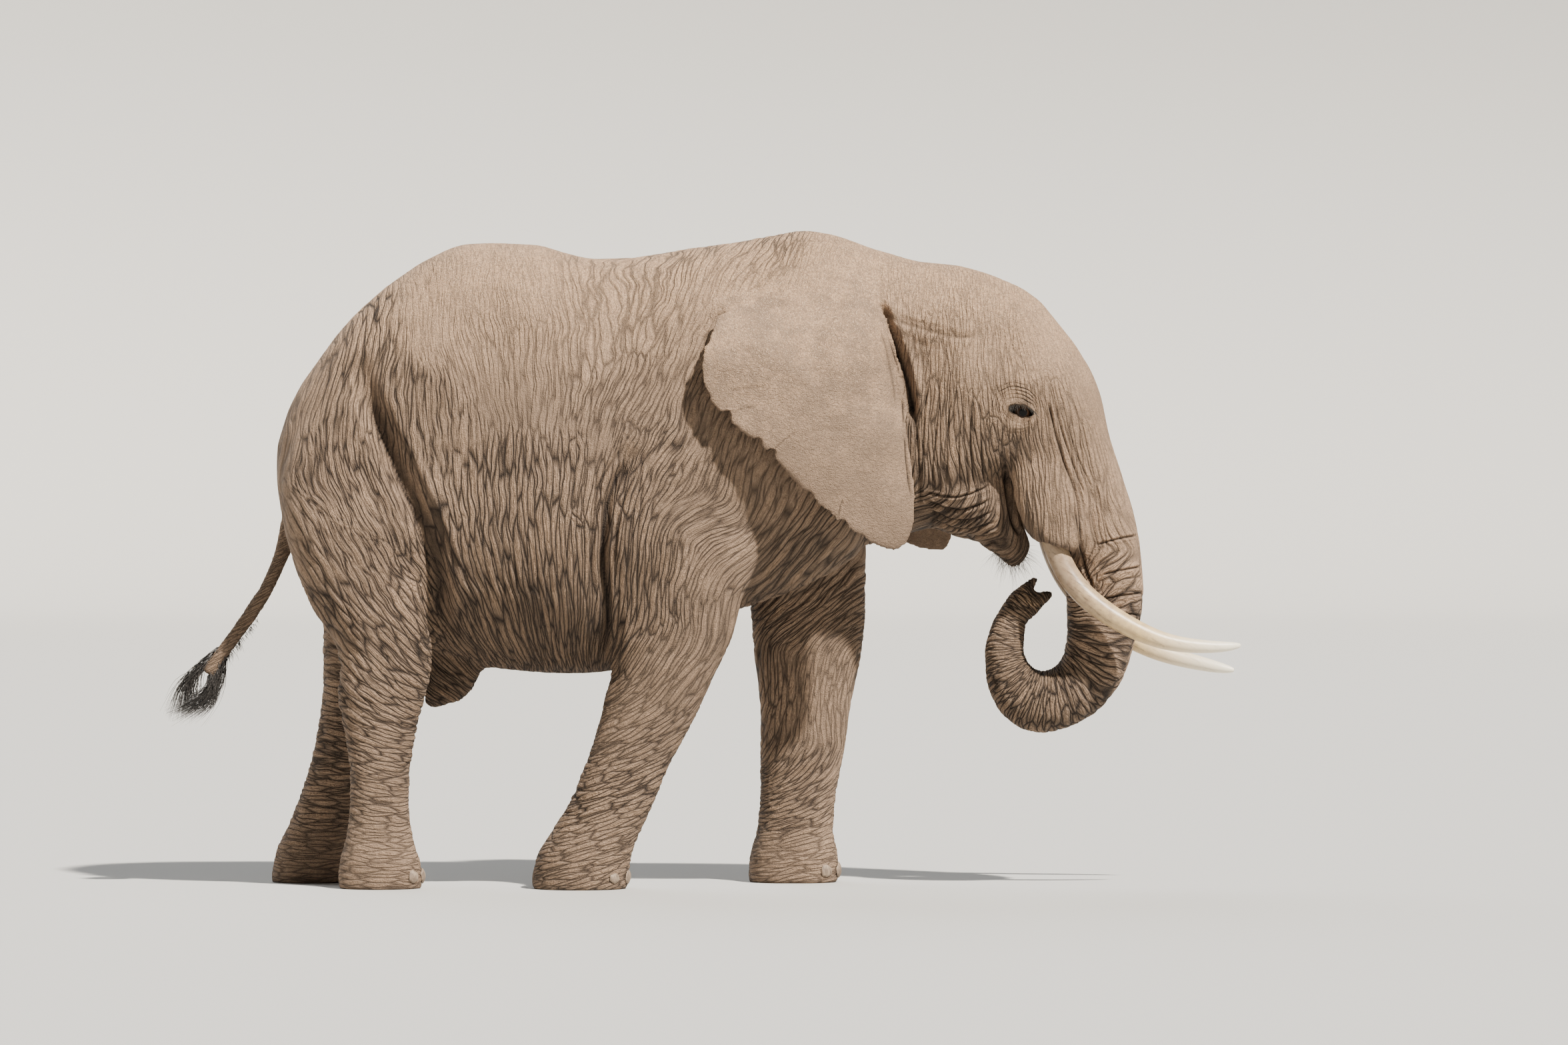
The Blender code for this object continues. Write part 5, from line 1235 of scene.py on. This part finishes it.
# ---- the model -------------------------------------------------------------------------------------
def tint(skin, places):
    """Where the hide is dusty, with painted light on its upper and upward-facing parts, and where painted
    shade darkens it: underneath, between the legs, low on the body, under the jaw and in the trunk's tip.
    """
    up = relaxed(places.normals[:, 2], places.links, 12)
    ear = places.of("ear", rounds=6)
    set_attribute(skin.data, "ear", ear)
    # Dust and painted light: paler the higher and the more upward a part faces, paler on the upper ear, the
    # head and the trunk's base, and not underneath.
    dust_and_painted_light = ramp(places.z, 2.1, 2.95) * 0.55 + 0.45 * ramp(up, 0.15, 0.85) * ramp(places.z, 0.8, 1.6)
    more = 0.42 * ear * ramp(places.z, 1.5, 2.5) + 0.30 * places.of("head", "trunk_base", rounds=20)
    dust_and_painted_light += more * (1 - dust_and_painted_light)
    # Painted shade: darker underneath, on the torso's inner side between the legs, low on torso and neck,
    # under the jaw and in the fork between the trunk's fingers.
    under = ramp(up, 0.0, -0.75)
    inner = ramp(places.out, 0.15, -0.5) * ramp(places.z, 2.3, 1.9) * places.of("torso", rounds=8)
    low = ramp(places.z, 1.7, 1.15) * places.of("torso", "neck", rounds=30)
    shade = np.maximum.reduce((0.8 * under, 0.60 * inner, 0.25 * low))
    shade = np.maximum(shade, 0.75 * places.of("lower_jaw", rounds=10) * ramp(places.z, 1.90, 1.68))
    fork = np.hypot(places.x - FINGER_FORK[0], places.z - FINGER_FORK[1])
    finger = ramp(fork, 0.115, 0.085) * ramp(places.x + places.z, 2.90, 2.95)
    rim = np.exp(-((fork - 0.118) / 0.022) ** 2) * ramp(places.x + places.z, 2.84, 2.90) * (1 - finger)
    set_attribute(skin.data, "dust_and_painted_light", np.clip(dust_and_painted_light * (1 - under) + rim, 0, 1))
    set_attribute(skin.data, "shade", np.clip(np.maximum(shade, finger), 0, 1))


def add_skin():
    skin = skin_mesh()
    places = Places(skin.data)
    wrinkled(skin, places)
    tint(skin, places)
    finished(skin, hide_look())
    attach(skin, ROOT)
    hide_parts(*FLESH)
    return skin


def finished(thing, material):
    """Shade an object smooth and give it its material."""
    thing.data.polygons.foreach_set("use_smooth", np.ones(len(thing.data.polygons), bool))
    thing.data.materials.append(material)
    return thing


def smooth_object(name, points, faces, material):
    return finished(add_object(name, mesh_of(name, points, faces)), material)


def smooth_piece(name, points, faces, material, slot, *nodes):
    """A piece of the elephant, in place of some of the frame's nodes or beside them."""
    piece = smooth_object(name, points, faces, material)
    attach(piece, ROOT)
    if nodes:
        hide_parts(*nodes)
    return piece


def ivory_look():
    look = Look("ivory", 0.38, 0.45)
    along = look.attribute("along")
    place = look.place()
    streaks = look.noise(look.attribute("streak", "Vector"), 0.02, 4.0, 0.6)
    blotches = look.noise(place, 0.035, 4.0, 0.6)
    tone = look.mixed(look.band(along, 0.12, 0.50), IVORY_ROOT, IVORY_MIDDLE)
    tone = look.mixed(look.band(along, 0.50, 0.95), tone, IVORY_TIP)
    stain = look.times(look.band(blotches, 0.42, 0.66), look.band(along, 0.75, 0.1))
    tone = look.mixed(look.times(stain, 0.85), tone, IVORY_STAIN)
    fleck = look.times(look.band(streaks, 0.56, 0.70), look.band(along, 0.95, 0.05, 0.1, 0.75))
    tone = look.mixed(fleck, tone, IVORY_DIRT)
    return look.finish(tone, look.times(streaks, 0.0012))


def add_tusks():
    look = ivory_look()
    for side, _ in SIDES:
        node = f"tusk_{side}"
        points, faces = subdivided(large_faced(node, TUSK_GROWN, 0.9), 3)
        low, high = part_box(node)
        piece = smooth_piece(f"ivory_{side}", points, faces, look, "ivory", node)
        x, y, z = points.T
        set_attribute(piece.data, "along", (x - low.x) / (high.x - low.x))
        set_attribute(piece.data, "streak", np.column_stack((x * 0.25, y, z + 0.6 * x)))


def eye_look():
    look = Look("eye", 0.20, 0.12)
    turn = look.attribute("turn")
    fibres = look.noise(look.attribute("fibre", "Vector"), 0.05, 3.0, 0.6)
    iris = look.mixed(look.band(fibres, 0.35, 0.65), IRIS_DARK, IRIS_LIGHT)
    tone = look.mixed(look.band(turn, 0.30, 0.36), PUPIL, iris)
    tone = look.mixed(look.band(turn, 0.62, 0.72), tone, EYE_WHITE)
    return look.finish(tone)


def add_eyes():
    """Balls behind the lids: a dark pupil, a brown iris and a darker white, under a wet cornea."""
    look = eye_look()
    for side, sign in SIDES:
        spot = eye_spot(side)
        centre = spot + Vector((0, sign * (SKIN_TO_EYE + BALL_PROUD - BALL_RADIUS), 0))
        shaped = bmesh.new()
        bmesh.ops.create_uvsphere(shaped, u_segments=64, v_segments=40, radius=BALL_RADIUS)
        aim = Vector((GAZE[0], sign, GAZE[1])).normalized()
        turn = aim.to_track_quat("Z", "Y").to_matrix()
        angles, fibres = [], []
        for vertex in shaped.verts:      # the cornea bulges where the angle from the gaze is small
            angle = vertex.co.angle((0, 0, 1))
            angles.append(angle)
            fibres.append((math.atan2(vertex.co.y, vertex.co.x), 0.0, angle * 0.1))
            vertex.co *= 1 + CORNEA_BULGE * float(ramp(angle, 0.75, 0.35))
            vertex.co = centre + turn @ vertex.co
        points, faces = lists_of(shaped)
        ball = smooth_piece(f"eyeball_{side}", points, faces, look, "eye", f"eye_{side}")
        set_attribute(ball.data, "turn", np.array(angles))
        set_attribute(ball.data, "fibre", np.array(fibres))


def nail_look():
    look = Look("nail", 0.66)
    place = look.place()
    long_place = look.node("ShaderNodeMapping", {"Vector": place, "Scale": (1.0, 1.0, 0.18)}).outputs[0]
    ridges = look.noise(long_place, 0.006, 3.0, 0.6)
    patches = look.noise(place, 0.03, 3.0, 0.6)
    tone = look.mixed(look.band(patches, 0.35, 0.65), NAIL_MAIN, NAIL_LIGHT)
    tone = look.mixed(look.band(ridges, 0.5, 0.7, 0.0, 0.6), tone, NAIL_GROOVE)
    return look.finish(tone, look.times(ridges, 0.0026))


def add_nails():
    """Nails with their corners worn round."""
    look = nail_look()
    for node in sorted(NODES):
        if node.startswith("nail_"):
            nail = remeshed(joined([lists_of(welded(node, NAIL_GROWN))]), NAIL_VOXEL)
            move_vertices(nail.data, relaxed(vertex_array(nail.data), links_of(nail.data), NAIL_ROUNDS))
            smooth_piece(node.replace("nail", "toenail"), *taken(nail), look, "toenail", node)


def chart(points, normals):
    """Where points of the skin lie on its unwrap: six sheets, one for each way that the skin can face."""
    low, high = (np.array(corner) for corner in CAD_BOX)
    spots = (points - low) / (high - low)
    facing = np.argmax(np.abs(normals), axis=1)
    row = (np.take_along_axis(normals, facing[:, None], 1)[:, 0] > 0).astype(float)
    across = np.where(facing == 0, spots[:, 1], spots[:, 0])
    up = np.where(facing == 2, spots[:, 1], spots[:, 2])
    return np.column_stack(((facing + 0.02 + 0.96 * across) / 3, (row + 0.02 + 0.96 * up) / 2))


ASKEW = (0.13, 0.97, 0.21)  # a direction that no strand runs along
STRAND_PATCH = 0.003      # side of a strand's patch on the unwrap


def add_hairs(name, lines, thickness, normals, look, slot, *nodes):
    """Tapering strands from an array of strands by points by xyz; each has a small patch of the unwrap."""
    count, length = lines.shape[:2]
    runs = np.gradient(lines, axis=1)
    runs /= np.linalg.norm(runs, axis=2)[..., None] + 1e-9
    side = np.cross(runs, ASKEW)
    side /= np.linalg.norm(side, axis=2)[..., None] + 1e-9
    other = np.cross(runs, side)
    taper = np.linspace(1, 0, length)[:, None] ** 0.7
    width = np.asarray(thickness).reshape(-1, 1, 1) * np.maximum(taper, 0.12)
    turns = (0.0, 2.094, 4.189)
    rings = [lines + width * (side * math.cos(t) + other * math.sin(t)) for t in turns]
    corners = np.stack(rings, axis=2).reshape(-1, 3)
    first = (np.arange(count)[:, None, None] * length + np.arange(length - 1)[None, :, None]) * 3
    k = np.arange(3)[None, None, :]
    after = (k + 1) % 3
    quads = np.stack((first + k, first + after, first + 3 + after, first + 3 + k), axis=-1).reshape(-1, 4)
    start = np.arange(count) * length * 3
    ends = start + (length - 1) * 3
    caps = np.vstack((np.column_stack((start + 2, start + 1, start)),
                      np.column_stack((ends, ends + 1, ends + 2))))
    piece = smooth_piece(name, corners.tolist(), quads.tolist() + caps.tolist(), look, slot, *nodes)
    roots = chart(lines[:, 0], normals)
    mesh = piece.data
    loops = read(mesh.loops, "vertex_index", 1, np.int32)[:, 0]
    strand = loops // (3 * length)
    step = (loops // 3) % length / (length - 1)
    patch = roots[strand] + STRAND_PATCH * (np.column_stack((step, (loops % 3) / 2)) - 0.5)
    mesh.uv_layers.new(name="OFBake").data.foreach_set("uv", patch.astype(np.float32).ravel())


def hair_look(name, colour, pale):
    look = Look(name, 0.5)
    streaks = look.noise(look.place(), 0.01)
    return look.finish(look.mixed(look.band(streaks, 0.4, 0.65), colour, pale))


def drift(random, count, size):
    return random.normal(0, size, (count, 3))


def swept(roots, aims, lengths, droop, points=7):
    """Strands that start along their aims and bend towards a droop."""
    t = np.linspace(0, 1, points)[None, :, None]
    aims = aims / np.linalg.norm(aims, axis=1)[:, None]
    lengths = np.asarray(lengths).reshape(-1, 1, 1)
    return roots[:, None] + lengths * (aims[:, None] * t + 0.5 * (droop[:, None] - aims[:, None]) * t * t)


BRUSH_HAIRS = 520
BRUSH_LINE = ((-2.236, 1.118), (-2.290, 1.045), (-2.335, 0.992))  # the tail's end: x, z
BRUSH_OUT = (0.82, -0.57)  # across that line, towards its front edge
BRUSH_BULGE = 0.055       # how far the hairs bow outwards
TAIL_BRISTLES = 110
BRISTLE_LINE = ((-2.085, 0, 1.255), (-2.235, 0, 1.075))  # the tail's front edge above the brush
LASHES = 90
CHIN_BRISTLES = 260


def add_brush():
    """Wiry hairs along both edges of the tail's end, which close in on a point below and behind it."""
    random = np.random.default_rng(7)
    count = BRUSH_HAIRS
    line = np.array(BRUSH_LINE)
    place = random.uniform(0, 1, count) ** 0.6 * 2
    index = np.minimum(place.astype(int), 1)
    share = (place - index)[:, None]
    middle = line[index] * (1 - share) + line[index + 1] * share
    edge = np.where(random.uniform(0, 1, count) < 0.40, -1.0, 1.0)
    out = BRUSH_OUT
    depth = random.uniform(0.35, 1.0, count) * 0.036
    aside = MID_PLANE + random.normal(0, 0.009, count)
    roots = np.column_stack((middle[:, 0] + out[0] * edge * depth, aside,
                             middle[:, 1] + out[1] * edge * depth))
    low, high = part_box("tail_brush")
    tip = np.array((low.x + 0.055, MID_PLANE, low.z + 0.045))
    goals = tip + drift(random, count, 0.022) + np.column_stack(
        (random.uniform(0, 0.16, count), random.normal(0, 0.004, count), random.uniform(0, 0.05, count)))
    t = np.linspace(0, 1, 9)[None, :, None]
    bulge = np.column_stack((out[0] * edge, random.normal(0, 0.25, count), out[1] * edge)) * BRUSH_BULGE
    bulge[edge < 0] *= 0.9
    lines = roots[:, None] * (1 - t) + goals[:, None] * t
    lines = lines + bulge[:, None] * np.sin(math.pi * t) * (1 - 0.35 * t)
    lines = np.maximum(lines, np.array((low.x, low.y, low.z)) + 0.002)
    look = hair_look("tail hair", *TAIL_HAIR)
    normals = np.column_stack((edge, np.zeros(count), np.zeros(count)))
    thickness = random.uniform(0.0011, 0.0022, count)
    add_hairs("tail_hairs", lines, thickness, normals, look, "tail_hair", "tail_brush")

    bristles = TAIL_BRISTLES
    share = random.uniform(0, 1, bristles)[:, None]
    upper, lower = np.array(BRISTLE_LINE)
    roots = upper * (1 - share) + lower * share
    roots[:, 1] = MID_PLANE
    roots += drift(random, bristles, 0.004)
    aims = np.array((0.75, 0.0, -0.65)) + drift(random, bristles, 0.25)
    lines = swept(roots, aims, random.uniform(0.02, 0.065, bristles) * (0.4 + 0.6 * share[:, 0]),
                  np.array((0.2, 0.0, -1.0)) + drift(random, bristles, 0.3), 5)
    add_hairs("tail_bristles", lines, random.uniform(0.0009, 0.0016, bristles), aims, look, "tail_hair")


def near_skin(skin, spots, aims):
    """The points of the skin that rays from outside meet, and its normals there."""
    tree = BVHTree.FromObject(skin, bpy.context.evaluated_depsgraph_get())
    found = [tree.ray_cast(Vector(s), Vector(a)) for s, a in zip(spots, aims)]
    keep = [f for f in found if f[0] is not None]
    return np.array([f[0] for f in keep]), np.array([f[1] for f in keep])


def add_lashes_and_bristles(skin):
    """Lashes on the upper lids, and thin bristles under the chin."""
    random = np.random.default_rng(11)
    look = hair_look("bristle", *BRISTLE)
    for side, sign in SIDES:
        spot = np.array(eye_spot(side))
        count = LASHES
        turn = random.uniform(0.12, 0.90, count) * math.pi
        u = -np.cos(turn) * OPENING[0] * 1.02
        v = np.sin(turn) * OPENING[1] * 1.10
        x = spot[0] + u * math.cos(EYE_TILT) + v * math.sin(EYE_TILT)
        z = spot[2] - u * math.sin(EYE_TILT) + v * math.cos(EYE_TILT)
        out = spot[1] + sign * (SKIN_TO_EYE + 0.013)
        roots = np.column_stack((x, np.full(count, out), z))
        aims = np.column_stack((0.25 + 5 * u, np.full(count, sign * 1.0), np.full(count, -0.25)))
        aims += drift(random, count, 0.12)
        droop = np.column_stack((0.3 + 6 * u, np.full(count, sign * 0.4), np.full(count, -1.2)))
        lengths = random.uniform(0.028, 0.060, count)
        lines = swept(roots, aims, lengths, droop + drift(random, count, 0.1), 6)
        add_hairs(f"lashes_{side}", lines, random.uniform(0.0006, 0.0010, count), aims, look, "tail_hair")
    count = CHIN_BRISTLES
    low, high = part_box("lower_jaw")
    spots = np.column_stack((random.uniform(high.x - 0.17, high.x + 0.01, count),
                             random.uniform(-0.07, 0.07, count) + MID_PLANE, np.full(count, low.z - 0.012)))
    roots, normals = near_skin(skin, spots, np.tile((0.0, 0.0, 1.0), (count, 1)))
    good = roots[:, 2] < low.z + 0.10
    roots, normals = roots[good], normals[good]
    aims = normals + drift(random, len(roots), 0.35)
    lines = swept(roots - normals * 0.001, aims, random.uniform(0.025, 0.085, len(roots)),
                  aims + np.array((0.2, 0.0, -0.9)), 6)
    thickness = random.uniform(0.0005, 0.0010, len(roots))
    add_hairs("chin_bristles", lines, thickness, normals, look, "tail_hair")


add_camera()
add_light()
add_floor()
elephant_skin = add_skin()
add_tusks()
add_eyes()
add_nails()
add_brush()
add_lashes_and_bristles(elephant_skin)
